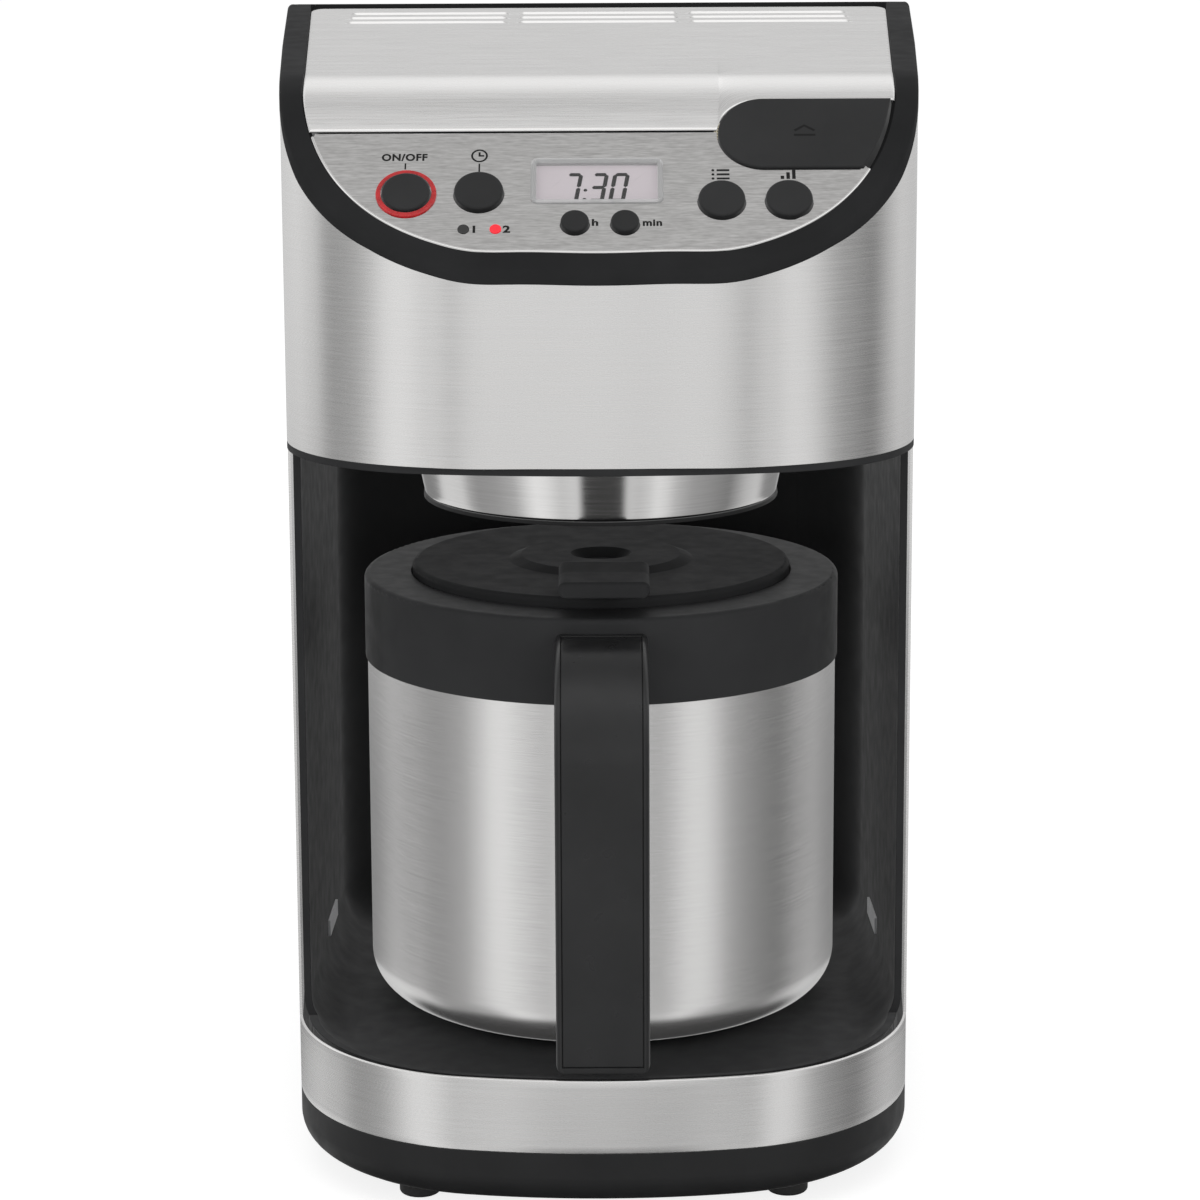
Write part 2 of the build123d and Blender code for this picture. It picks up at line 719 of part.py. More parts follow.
def open_button():
    """Long lid button that runs into the bezel."""
    cap = pill(0.0, -2.4, OPEN_PROUD) & head_column(PANEL_INSET + 0.1)
    cap = rounded_top(cap, 0.7)
    return cap + peg(3.0, -9.0, -2.0, OPEN_X + 12.9, OPEN_S - 6.45)


def louvres():
    """Place of every louvre: its left and right end and its row."""
    first_v = RAIL_V - LOUVRE_BEHIND - LOUVRE_PITCH * (LOUVRE_ROWS - 1)
    places = []
    for row in range(LOUVRE_ROWS):
        for group in (-1, 0, 1):
            left = group * LOUVRE_STEP - LOUVRE_LEN / 2.0
            places.append((left, left + LOUVRE_LEN, first_v + LOUVRE_PITCH * row))
    return places


def lid_skin():
    """Brushed lid plate, bent from the slope to the top, with pressed louvres."""
    skin = opening(PANEL_INSET, HINGE_V + 2.5, LID_CORNER - PANEL_PLAY) & (crown(0.0) - crown(-SKIN_T))
    skin -= below_seam(SEAM_S + SEAM_GAP / 2.0)
    skin -= pill(PANEL_PLAY, -FAR, FAR)
    above = crown(-0.5 * SKIN_T)
    for left, right, v in louvres():
        rib = rod(LOUVRE_R, left, right, v, lid_top(v) - LOUVRE_R + LOUVRE_PROUD)
        skin += rib - above
    for left, right, v in louvres():
        slot_v = v + LOUVRE_R
        skin -= block(left + 1.0, right - 1.0, slot_v, slot_v + LOUVRE_SLOT, DECK_Z1, FAR)
    return skin


def lid_liner():
    """Moulded lid inside, with hinge barrels, a stiffening frame and steam slots."""
    top = -SKIN_T
    liner = head_column(PANEL_INSET + 2.0) & (crown(top) - crown(top - LINER_T))
    liner -= behind(HINGE_V + 4.5)
    liner -= below_seam(SEAM_S + 1.6)
    liner -= pill(PANEL_PLAY + 1.2, -FAR, FAR)
    for side in SIDES:
        inner, outer = side * (HINGE_X - 12.5), side * (HINGE_X - 3.8)
        liner += rod(3.6, inner, outer, HINGE_V, HINGE_Z)
        liner -= rod(PIN_R + PIN_FIT, inner - side, outer + side, HINGE_V, HINGE_Z)
        liner -= block(side * (HINGE_X - 3.7), side * (HINGE_X + 4.0), HINGE_V - 7.0, FAR, DECK_Z1, FAR)
    reach = BASKET_R + 5.0
    frame = block(-reach, reach, AXIS_V - 45.0, AXIS_V + 55.0, DECK_Z1, FAR)
    frame -= block(-reach + 2.0, reach - 2.0, AXIS_V - 43.0, AXIS_V + 53.0, -FAR, 2.0 * FAR)
    liner += frame & (crown(top - LINER_T + 0.6) - crown(top - LINER_T - 3.4))
    for left, right, v in louvres():
        slot_v = v + LOUVRE_R
        liner -= block(left + 4.0, right - 4.0, slot_v, slot_v + LOUVRE_SLOT, DECK_Z1, FAR)
    return liner


def lid_latch():
    """Hook under the lid, behind the lid button."""
    x0, x1 = OPEN_X + 7.9, OPEN_X + 17.9
    low = OPEN_S + OPEN_R + 0.9
    hook = slope_box(x0, x1, low + 2.0, low + 5.0, -13.0, -2.6)
    hook += slope_box(x0, x1, low, low + 5.0, -13.0, -11.0)
    return hook & crown(-SKIN_T - LINER_T)


def basket_shroud():
    """Polished cone under the head, with a flange that lies on the ceiling of the bay."""
    return turned([
        (RIM_R, RIM_Z),
        (SHROUD_TOP_R, FLOOR_Z1),
        (SHROUD_R, FLOOR_Z1),
        (SHROUD_R, FLOOR_Z1 + 1.0),
        (SHROUD_TOP_R - SHROUD_SHEET, FLOOR_Z1 + 1.0),
        (RIM_R - SHROUD_SHEET, RIM_Z + 0.8),
        (RIM_R - 5.0, RIM_Z + 0.8),
        (RIM_R - 5.0, RIM_Z),
    ])


def shroud_trim():
    """Black ring under the shroud's rim."""
    return turned([
        (RIM_R - 6.0, RIM_Z - 1.2),
        (RIM_R + 0.3, RIM_Z - 1.2),
        (RIM_R + 0.3, RIM_Z),
        (RIM_R - 6.0, RIM_Z),
    ])


def filter_basket():
    """Basket that hangs in the deck, with a guide for the drip stop on three legs."""
    basket = turned([
        (2.0 * VALVE_R, BASKET_Z0),
        (BASKET_FLOOR_R, BASKET_Z0),
        (BASKET_R, DECK_Z1),
        (BASKET_FLANGE_R, DECK_Z1),
        (BASKET_FLANGE_R, DECK_Z1 + 2.0),
        (basket_inside(DECK_Z1 + 2.0), DECK_Z1 + 2.0),
        (basket_inside(SEAT_Z), SEAT_Z),
        (2.0 * VALVE_R, SEAT_Z),
    ])
    for i in range(3):
        leg = Pos(0, FRONT + AXIS_V, 0) * Rotation(0, 0, 120.0 * i) * Pos(10.5, 0, SEAT_Z + 7.4)
        basket += leg * Box(2.0, 3.0, 15.6)
    return basket + ring(11.5, VALVE_R + 0.5, SEAT_Z + 14.0, SEAT_Z + 15.6)


def basket_inside(z):
    """Inner radius of the basket at a height."""
    share = (z - SEAT_Z) / (DECK_Z1 + 2.0 - SEAT_Z)
    return BASKET_FLOOR_R + share * (BASKET_R - BASKET_FLOOR_R) - BASKET_T


def mesh_filter():
    """Lasting filter that stands in the basket."""
    low_r = basket_inside(MESH_Z0) - MESH_PLAY
    top_r = basket_inside(DECK_Z1 + 2.0) - MESH_PLAY
    rim_r = BASKET_FLANGE_R - 3.5
    return turned([
        (0.0, MESH_Z0),
        (low_r, MESH_Z0),
        (top_r, DECK_Z1 + 2.0),
        (rim_r, DECK_Z1 + 2.0),
        (rim_r, DECK_Z1 + 2.0 + MESH_T),
        (top_r - MESH_T, DECK_Z1 + 2.0 + MESH_T),
        (low_r - MESH_T, MESH_Z0 + MESH_T),
        (0.0, MESH_Z0 + MESH_T),
    ])


def basket_bail():
    """Half-round bail that lies on the basket's flange."""
    bail = ring(BASKET_FLANGE_R - 0.7, BASKET_FLANGE_R - 3.1, DECK_Z1 + 2.0, DECK_Z1 + 4.4)
    return bail & ahead(AXIS_V)


def drip_pin():
    """Drip stop: a stem with a sealing disc that rests on the basket's floor."""
    pin = cyl(VALVE_R, RIM_Z - VALVE_TIP_DROP, SEAT_Z + 15.8)
    pin = fillet(pin.edges().sort_by(Axis.Z)[0], 1.0)
    return pin + cyl(7.6, SEAT_Z + 0.1, SEAT_Z + 1.9)


def water_tank():
    """Tank behind the bay, deeper above it, with an outlet in its floor."""
    half = BAY_HALF_B
    low_v = BAY_BACK_V + WALL + TANK_GAP
    tank = block(-half, half, low_v, TANK_V1, TANK_Z0, DECK_Z0)
    tank += block(-half, half, TANK_V0, TANK_V1, TANK_STEP_Z, DECK_Z0)
    room = half - TANK_T
    back = TANK_V1 - TANK_T
    tank -= block(-room, room, low_v + TANK_T, back, TANK_Z0 + TANK_T, FAR)
    tank -= block(-room, room, TANK_V0 + TANK_T, back, TANK_STEP_Z + TANK_T, FAR)
    tank += cyl(HOSE_BORE, TANK_Z0 - 10.0, TANK_Z0 + 1.0, *OUTLET)
    return tank - cyl(HOSE_BORE - 1.0, -FAR, TANK_Z0 + TANK_T + 1.0, *OUTLET)


def heat_path(z):
    """U-shaped path of the heater, open to the rear."""
    points = [
        (-HEAT_R, FRONT + HEAT_END_V, z),
        (-HEAT_R, FRONT + HEAT_V, z),
        (0.0, FRONT + HEAT_V - HEAT_R, z),
        (HEAT_R, FRONT + HEAT_V, z),
        (HEAT_R, FRONT + HEAT_END_V, z),
    ]
    return Curve() + [Line(*points[:2]), ThreePointArc(*points[1:4]), Line(*points[3:])]


def flow_heater():
    """Cast heater: a heating tube and a water tube joined by a web, with two nipples."""

    def swept(section, z):
        path = heat_path(z)
        start = Plane(origin=path @ 0, x_dir=(1, 0, 0), z_dir=path % 0)
        return sweep(start * section, path)

    heater = swept(Circle(HEAT_PIPE_R), HEAT_Z)
    heater += swept(Circle(WATER_PIPE_R), WATER_Z)
    heater += swept(Rectangle(4.0, HEAT_UP), HEAT_Z + HEAT_UP / 2.0)
    for side in SIDES:
        heater += spike(HOSE_BORE, HEAT_END_V - 2.0, HEAT_END_V + 10.0, side * HEAT_R, WATER_Z)
        heater -= spike(HOSE_BORE - 1.0, HEAT_END_V - 38.0, HEAT_END_V + 12.0, side * HEAT_R, WATER_Z)
    return heater


def heater_saddles():
    """Two saddles that hold the heater on the bottom plate."""
    saddles = []
    v0, v1 = HEAT_END_V - 22.0, HEAT_END_V - 12.0
    for side in SIDES:
        x = side * HEAT_R
        saddle = block(x - 9, x + 9, v0, v1, PLATE_Z1, PLATE_Z1 + 1.2)
        saddle += block(x - 6.4, x + 6.4, v0, v1, PLATE_Z1, HEAT_Z)
        saddles.append(saddle - spike(HEAT_PIPE_R, v0 - 5.0, v1 + 5.0, x, HEAT_Z))
    return Compound(children=saddles)


def thermostat():
    """Disc thermostat under the bend of the heater."""
    return cyl(8.0, PLATE_Z1, HEAT_Z - HEAT_PIPE_R, 0.0, HEAT_V - HEAT_R)


def inlet_hose():
    """Hose from the tank's outlet to the heater."""
    return hose([
        (HEAT_R, HEAT_END_V + 2.5, WATER_Z),
        (HEAT_R, HEAT_END_V + 36.0, WATER_Z),
        (*OUTLET, WATER_Z),
        (*OUTLET, TANK_Z0 - 1.0),
    ], 9.0)


def hose_clamp():
    """Clamp around the hose under the tank."""
    return ring(HOSE_R + 1.4, HOSE_R, TANK_Z0 - 12.0, TANK_Z0 - 8.0, *OUTLET)


def riser_hose():
    """Hose that carries hot water up beside the bay to the shower arm."""
    return hose([
        (-HEAT_R, HEAT_END_V + 2.5, WATER_Z),
        (-HEAT_R, RISER_V, WATER_Z),
        (*RISER, WATER_Z),
        (*RISER, DECK_Z1 + 2.0),
    ], 10.0)


def shower_arm():
    """Arm from the riser to a rose with drip holes over the filter."""
    z = DECK_Z1 + 8.0
    arm = cyl(HOSE_R + 1.4, DECK_Z1, z + 4.0, *RISER) - cyl(HOSE_R + 0.1, DECK_Z1 - 1.0, z - 4.0, *RISER)
    reach = math.hypot(RISER_X, RISER_V - AXIS_V)
    turn = math.degrees(math.atan2(AXIS_V - RISER_V, -RISER_X))
    bar = Pos(reach / 2.0, 0, 0) * Box(reach, 10.0, 8.0)
    arm += Pos(RISER_X, FRONT + RISER_V, z) * Rotation(0, 0, turn) * bar
    arm += cyl(26.0, z - 3.0, z + 4.0)
    for i in range(8):
        angle = 2.0 * math.pi * i / 8.0
        arm -= cyl(1.6, z - 4.0, z - 1.0, 17.0 * math.cos(angle), AXIS_V + 17.0 * math.sin(angle))
    return arm


def carafe_shell():
    """Outer steel body of the carafe."""
    low = BAY_FLOOR + FOOT_DISC_T
    return turned([
        (0.0, low),
        (SHELL_R, low),
        (SHELL_R, COLLAR_Z0),
        (SHELL_R - SHELL_T, COLLAR_Z0),
        (SHELL_R - SHELL_T, low + SHELL_T),
        (0.0, low + SHELL_T),
    ], rounds=((1, SHELL_CORNER), (4, SHELL_CORNER - SHELL_T)))


def carafe_base():
    """Disc that the carafe stands on."""
    r = SHELL_R - SHELL_CORNER - 1.6
    return turned([(0.0, BAY_FLOOR), (r - 2.0, BAY_FLOOR), (r, BAY_FLOOR + FOOT_DISC_T),
                   (0.0, BAY_FLOOR + FOOT_DISC_T)])


def carafe_flask():
    """Inner steel flask with a shoulder and a neck."""
    r = SHELL_R - FLASK_GAP
    low = BAY_FLOOR + 8.0
    shoulder = COLLAR_Z0 - 2.0
    neck = NECK_R + SHELL_T
    top = LEDGE_Z - 4.0
    return turned([
        (0.0, low),
        (r, low),
        (r, shoulder),
        (neck, shoulder + 8.5),
        (neck, top),
        (NECK_R, top),
        (NECK_R, shoulder + 8.5 - SHELL_T),
        (r - SHELL_T, shoulder - SHELL_T),
        (r - SHELL_T, low + SHELL_T),
        (0.0, low + SHELL_T),
    ], rounds=((1, 11.0), (8, 11.0 - SHELL_T), (2, 9.0), (7, 9.0 - SHELL_T)))


def carafe_collar():
    """Black collar between the body and the lid, with a spout at the rear."""
    skirt_r = SHELL_R - 3.0
    neck = NECK_R + SHELL_T
    collar = turned([
        (SHELL_R - SHELL_T, COLLAR_Z0),
        (COLLAR_R, COLLAR_Z0),
        (COLLAR_R, COLLAR_Z1),
        (BORE_R, COLLAR_Z1),
        (BORE_R, LEDGE_Z),
        (neck, LEDGE_Z),
        (neck, LEDGE_Z - 8.0),
        (neck + 3.0, LEDGE_Z - 8.0),
        (neck + 3.0, LEDGE_Z - 3.0),
        (skirt_r, LEDGE_Z - 3.0),
        (skirt_r, COLLAR_Z0 - 4.0),
        (SHELL_R - SHELL_T, COLLAR_Z0 - 4.0),
    ], rounds=((2, 1.8),))
    edge_v = AXIS_V + COLLAR_R
    spout = from_side([
        (edge_v - 12.0, COLLAR_Z1 - 16.7),
        (edge_v + 0.2, COLLAR_Z1 - 12.7),
        (edge_v + 2.4, COLLAR_Z1),
        (edge_v - 12.0, COLLAR_Z1),
    ], 11.0)
    return collar + (spout - cyl(COLLAR_R - 0.4, -FAR, FAR))


def grip_block(inset, half):
    """Side outline of the handle, with its front and top moved inward, reaching half to each side."""
    top = COLLAR_Z1 - GRIP_TOP_DROP
    low = BAY_FLOOR + GRIP_LOW_RISE
    front = GRIP_V0 + inset
    rear = GRIP_V0 + GRIP_T
    root_v = AXIS_V - COLLAR_R + 8.3
    return from_side([
        (front, low),
        (rear - 2.0, low),
        (rear, low + 20.0),
        (rear, top - GRIP_T),
        (root_v, top - GRIP_T),
        (root_v, top - inset),
        (front, top - inset),
    ], half, rounds=((6, GRIP_BEND - inset), (3, GRIP_BEND - GRIP_T)))


def inlay_block(groove, out):
    """Space of the handle's inlay, which follows the front and the bend, from out to the recess."""
    half = GRIP_W / 2.0 - INLAY_SIDE + groove
    strip = grip_block(-out, half) - grip_block(INLAY_DEPTH, FAR)
    low = BAY_FLOOR + GRIP_LOW_RISE + INLAY_SIDE - groove
    return strip & ahead(AXIS_V - COLLAR_R - INLAY_SIDE + groove, low)


def handle_grip():
    """Handle that leaves the collar, bends down in a wide curve and runs free beside the body."""
    grip = grip_block(0.0, GRIP_W / 2.0)
    rims = grip.edges().filter_by(lambda edge: abs(abs(edge.center().X) - GRIP_W / 2.0) < 0.01)
    grip = fillet(rims, 2.4)
    grip -= cyl(COLLAR_R, -FAR, FAR)
    return grip - inlay_block(INLAY_GROOVE, 1.0)


def handle_inlay():
    """Satin inlay in the front of the handle."""
    return inlay_block(0.0, -INLAY_DROP)


def carafe_lid():
    """Screw lid with a domed ring, a drip hole and two ears for the lever."""
    lid_r = BORE_R - LID_PLAY
    top = COLLAR_Z1 + LID_RISE
    plug_r = NECK_R - 4.0
    lid = turned([
        (0.0, LEDGE_Z - 8.0),
        (plug_r, LEDGE_Z - 8.0),
        (plug_r, LEDGE_Z + 0.3),
        (lid_r, LEDGE_Z + 0.3),
        (lid_r, top),
        (30.0, top),
        (26.0, top + 1.6),
        (10.0, top + 1.6),
        (7.0, top - 1.4),
        (0.0, top - 1.4),
    ], rounds=((4, 1.6),))
    lid -= cyl(3.0, -FAR, FAR)
    for x in lever_ears():
        half = LEVER_EAR_T / 2.0
        lid += block(x - half, x + half, LEVER_V - 3.0, LEVER_V + 3.0, top - 1.0, LEVER_Z + 2.6)
    return lid - rod(LEVER_PIN_R, -GRIP_W, GRIP_W, LEVER_V, LEVER_Z)


def lever_ears():
    """Places across of the two ears that carry the lever's pin."""
    return [LEVER_X + side * (LEVER_W / 2.0 - LEVER_EAR_IN) for side in SIDES]


def lever_pin():
    """Pin of the thumb lever, held in the lid's ears."""
    reach = LEVER_W / 2.0 - 0.6
    return rod(LEVER_PIN_R, LEVER_X - reach, LEVER_X + reach, LEVER_V, LEVER_Z)


def carafe_lid_seal():
    """Seal ring between the lid's plug and the neck."""
    return ring(NECK_R - 0.6, NECK_R - 4.0, LEDGE_Z - 6.0, LEDGE_Z - 2.6)


def pour_valve():
    """Tube under the lid that leads coffee down into the flask."""
    top = LEDGE_Z - 8.0
    return ring(5.0, 3.0, top - 18.0, top) + ring(9.0, 3.0, top - 18.0, top - 15.5)


def thumb_lever():
    """Thumb lever that opens the spout, pivoted on the lid's ears, with a slot for each ear."""
    tip_v = AXIS_V - COLLAR_R - 1.3
    low = COLLAR_Z1 + 6.7
    lever = from_side([
        (tip_v, low),
        (LEVER_V - 6.0, low),
        (LEVER_V - 3.6, LEVER_Z - 3.0),
        (LEVER_V + 3.4, LEVER_Z - 3.0),
        (LEVER_V + 3.4, LEVER_Z + 3.0),
        (LEVER_V - 6.0, LEVER_Z + 5.2),
        (LEVER_V - 16.0, LEVER_Z + 3.9),
        (tip_v, LEVER_Z + 3.4),
    ], LEVER_W / 2.0, rounds=((7, 1.2), (0, 0.8), (6, 12.0), (5, 3.0)))
    sides = lever.edges().filter_by(Axis.Z).sort_by(Axis.Y)[:2]
    lever = Pos(LEVER_X, 0, 0) * fillet(sides, 2.4)
    half = LEVER_EAR_T / 2.0 + LEVER_EAR_PLAY
    for x in lever_ears():
        lever -= block(x - half, x + half, LEVER_V - 3.0 - 1.4, FAR, -FAR, FAR)
    return lever - rod(LEVER_PIN_R + PIN_FIT, -GRIP_W, GRIP_W, LEVER_V, LEVER_Z)


PIECES = (
    base_tub, base_plate, rubber_feet, base_screws, base_band, bay_liner, bay_pads, steel_wrap, rear_cover,
    rear_screws, cord_inlet, head_floor, head_deck, top_bezel, hinge_brackets, control_panel, panel_carrier,
    light_ring, indicator_lights, lcd_glass, lcd_module, control_board, tact_switches, open_button, lid_skin,
    lid_liner, lid_latch, basket_shroud, shroud_trim, filter_basket, mesh_filter, basket_bail, drip_pin,
    water_tank, flow_heater, heater_saddles, thermostat, inlet_hose, hose_clamp, riser_hose, shower_arm,
    carafe_shell, carafe_base, carafe_flask, carafe_collar, handle_grip, handle_inlay, carafe_lid, lever_pin,
    carafe_lid_seal, pour_valve, thumb_lever,
)


def save(shape, name):
    """Write one node as one solid or as a group of solids."""
    solids = shape.solids()
    whole = solids[0] if len(solids) == 1 else Compound(children=list(solids))
    export_step(whole, f"parts/{name}.step")


os.makedirs("parts", exist_ok=True)
for piece in PIECES:
    save(piece(), piece.__name__)
for name, x, s, r in BUTTONS:
    save(push_button(x, s, r), name)
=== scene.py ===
"""Looks of a drip coffee maker with a thermal carafe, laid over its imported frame.

Sizes in the classes are in millimetres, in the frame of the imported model: +X is right, the
front faces -Y, +Z is up and the floor is z = 0. A distance called v runs backward from the
front of the machine. On the sloped control panel, s runs up the slope and d stands out of it.
"""

import logging
import math
from collections.abc import Sequence
from dataclasses import dataclass
from enum import Enum

import bpy
import numpy as np
from mathutils import Matrix

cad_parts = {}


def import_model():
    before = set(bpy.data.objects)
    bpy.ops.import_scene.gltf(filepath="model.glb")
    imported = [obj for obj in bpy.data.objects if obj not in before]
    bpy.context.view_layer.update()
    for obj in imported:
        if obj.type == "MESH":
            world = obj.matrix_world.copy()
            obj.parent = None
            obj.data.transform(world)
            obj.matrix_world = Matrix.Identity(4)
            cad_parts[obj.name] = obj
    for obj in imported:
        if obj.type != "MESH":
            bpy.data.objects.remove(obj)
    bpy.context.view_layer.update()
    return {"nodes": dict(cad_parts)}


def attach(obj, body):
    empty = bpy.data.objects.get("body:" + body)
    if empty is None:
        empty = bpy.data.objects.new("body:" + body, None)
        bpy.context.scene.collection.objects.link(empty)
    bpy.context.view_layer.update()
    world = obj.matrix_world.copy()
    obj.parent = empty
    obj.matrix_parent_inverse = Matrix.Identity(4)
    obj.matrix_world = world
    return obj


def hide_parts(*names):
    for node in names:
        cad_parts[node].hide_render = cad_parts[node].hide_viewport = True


MM = 0.001
CREASE = math.radians(35.0)
MIRROR = np.array([-1.0, 1.0])
SOFT_REACH = (0.3, 0.7)
CARAFE_BODIES = ("carafe", "carafe_stopper", "lever", "valve")
CARAFE_NODES = ("carafe", "handle", "lever", "pour", "thumb")
LOG = logging.getLogger("coffee_maker")

Array = np.ndarray
Material = bpy.types.Material
Piece = bpy.types.Object
Socket = bpy.types.NodeSocket
Pair = tuple[float, float]
Lines = tuple[Array, Array]
Colour = tuple[float, float, float, float]
Value = float | tuple | Socket
Inputs = dict[str | int, Value]


class Grain(Enum):
    """Which way the steel was brushed."""

    MAPPED = "along the first coordinate of the piece's own brush map"
    ACROSS = "from side to side"


def grey(level: float) -> Colour:
    """Neutral colour of a level."""
    return (level, level, level, 1.0)


class Graph:
    """Node tree with short ways to add and join its nodes."""

    def __init__(self, tree: bpy.types.NodeTree) -> None:
        """Take a node tree.

        Args:
            tree: Tree of a material or of the world.
        """
        self.nodes = tree.nodes
        self.links = tree.links

    def put(self, socket: Socket, value: Value) -> None:
        """Link a socket to another, or set its constant.

        Args:
            socket: Input to fill.
            value: Output to link it to, or its constant.
        """
        if isinstance(value, Socket):
            self.links.new(value, socket)
        else:
            socket.default_value = value

    def feed(self, node: bpy.types.Node, inputs: Inputs) -> None:
        """Put a value on each of a node's inputs that are named or numbered."""
        for key, value in inputs.items():
            self.put(node.inputs[key], value)

    def add(self, kind: str, inputs: Inputs, output: str | int, **settings: object) -> Socket:
        """Add a node.

        Args:
            kind: Type of the node, without its common prefix.
            inputs: Constant or socket for each input's name or number.
            output: Name or number of the output that is wanted.
            **settings: Attributes of the node.

        Returns:
            The wanted output.
        """
        node = self.nodes.new("ShaderNode" + kind)
        for name, value in settings.items():
            setattr(node, name, value)
        self.feed(node, inputs)
        return node.outputs[output]

    def math(self, operation: str, *values: Value) -> Socket:
        """Arithmetic on one or two values."""
        return self.add("Math", dict(enumerate(values)), "Value", operation=operation)

    def spread(self, value: Socket, low: float, high: float, start: float = SOFT_REACH[0],
               end: float = SOFT_REACH[1]) -> Socket:
        """Stretch a value from one range over another."""
        inputs = {"Value": value, "From Min": start, "From Max": end, "To Min": low, "To Max": high}
        return self.add("MapRange", inputs, "Result")

    def fade(self, value: Socket, none: float, full: float) -> Socket:
        """Share that goes from nothing at one value to all at another, whichever is the lower.

        Args:
            value: Value to follow.
            none: Where the share is nothing.
            full: Where the share is all.

        Returns:
            The share.
        """
        if none < full:
            return self.spread(value, 0.0, 1.0, none, full)
        return self.spread(value, 1.0, 0.0, full, none)

    def blend(self, share: Value, first: Value, second: Value) -> Socket:
        """Mix two colours by a share."""
        return self.add("Mix", {0: share, 6: first, 7: second}, 2, data_type="RGBA")

    def ramp(self, angle: Socket, stops: Sequence[Pair]) -> Socket:
        """Grey level that follows an angle in radians, from stops of rising degrees and their levels.

        Args:
            angle: Angle in radians.
            stops: Degrees, rising, and the level at each.

        Returns:
            The colour.
        """
        node = self.nodes.new("ShaderNodeValToRGB")
        places = node.color_ramp.elements
        first, last = stops[0][0], stops[-1][0]
        while len(places) < len(stops):
            places.new(0.5)
        for place, (turn, level) in zip(places, stops):
            place.position = (turn - first) / (last - first)
            place.color = grey(level)
        self.links.new(self.fade(angle, math.radians(first), math.radians(last)), node.inputs["Fac"])
        return node.outputs["Color"]

    def either(self, share: Value, first: Socket, second: Socket) -> Socket:
        """Mix two shaders by a share."""
        return self.add("MixShader", {0: share, 1: first, 2: second}, "Shader")

    def rays(self) -> tuple[Socket, Socket]:
        """Whether a ray sees straight or through a pane, and whether it is mirrored."""
        path = self.nodes.new("ShaderNodeLightPath").outputs
        return self.math("MAXIMUM", path["Is Camera Ray"], path["Is Transmission Ray"]), path["Is Glossy Ray"]


class Wiring(Graph):
    """Node graph of one finish, round a single Principled shader."""

    def __init__(self, name: str) -> None:
        """Start a material with its shader.

        Args:
            name: Name of the material.
        """
        self.material = bpy.data.materials.new(name)
        self.material.use_nodes = True
        super().__init__(self.material.node_tree)
        self.shader = self.nodes["Principled BSDF"]
        self.place = self.nodes.new("ShaderNodeTexCoord").outputs["Object"]

    def noise(self, per_metre: float | Sequence[float], detail: float = 2.0,
              place: Socket | None = None) -> Socket:
        """Noise on the piece's own place, with one frequency or its own along each axis.

        Args:
            per_metre: Frequency.
            detail: Number of finer octaves.
            place: Coordinates, if not the piece's own place.

        Returns:
            The noise, from 0 to 1.
        """
        scale = (per_metre,) * 3 if isinstance(per_metre, float) else tuple(per_metre)
        spot = self.add("Mapping", {"Vector": place or self.place, "Scale": scale}, "Vector")
        return self.add("TexNoise", {"Vector": spot, "Scale": 1.0, "Detail": detail}, "Fac")

    def bump(self, height: Socket, strength: float, depth: float, edge: float = 0.0) -> Socket:
        """Relief of a given depth in metres, over edges that are softened by a small radius.

        Args:
            height: Pattern of the relief.
            strength: Share of the relief that shows.
            depth: Depth in metres.
            edge: Radius of softened edges in metres.

        Returns:
            The bent normal.
        """
        inputs: Inputs = {"Height": height, "Strength": strength, "Distance": depth}
        if edge > 0.0:
            inputs["Normal"] = self.add("Bevel", {"Radius": edge}, "Normal", samples=4)
        return self.add("Bump", inputs, "Normal")

    def finish(self, inputs: Inputs) -> Material:
        """Feed the shader and hand the material over."""
        self.feed(self.shader, inputs)
        return self.material


@dataclass(frozen=True)
class MouldedPlastic:
    """Dark moulded plastic with a fine eroded texture and a soft sheen."""

    name: str
    dark: float
    light: float
    roughness: float = 0.5
    grain: float = 2600.0
    relief: float = 0.14
    sheen: float = 0.2
    edge: float = 0.45
    cloud: float = 35.0
    patch: float = 160.0
    uneven: float = 0.05
    depth: float = 0.06

    def tone(self, level: float) -> Colour:
        """Level with a faint blue cast."""
        return (level, level * 1.01, level * 1.04, 1.0)

    def material(self) -> Material:
        """Cloudy tone, eroded grain and slightly uneven gloss.

        Returns:
            The new material.
        """
        wiring = Wiring(self.name)
        cloud = wiring.spread(wiring.noise(self.cloud, 3.0), 0.0, 1.0)
        grain = wiring.noise(self.grain, 1.0)
        gloss = (self.roughness - self.uneven, self.roughness + self.uneven)
        return wiring.finish({
            "Base Color": wiring.blend(cloud, self.tone(self.dark), self.tone(self.light)),
            "Roughness": wiring.spread(wiring.noise(self.patch), *gloss),
            "Specular IOR Level": self.sheen,
            "Normal": wiring.bump(grain, self.relief, self.depth * MM, self.edge * MM),
        })


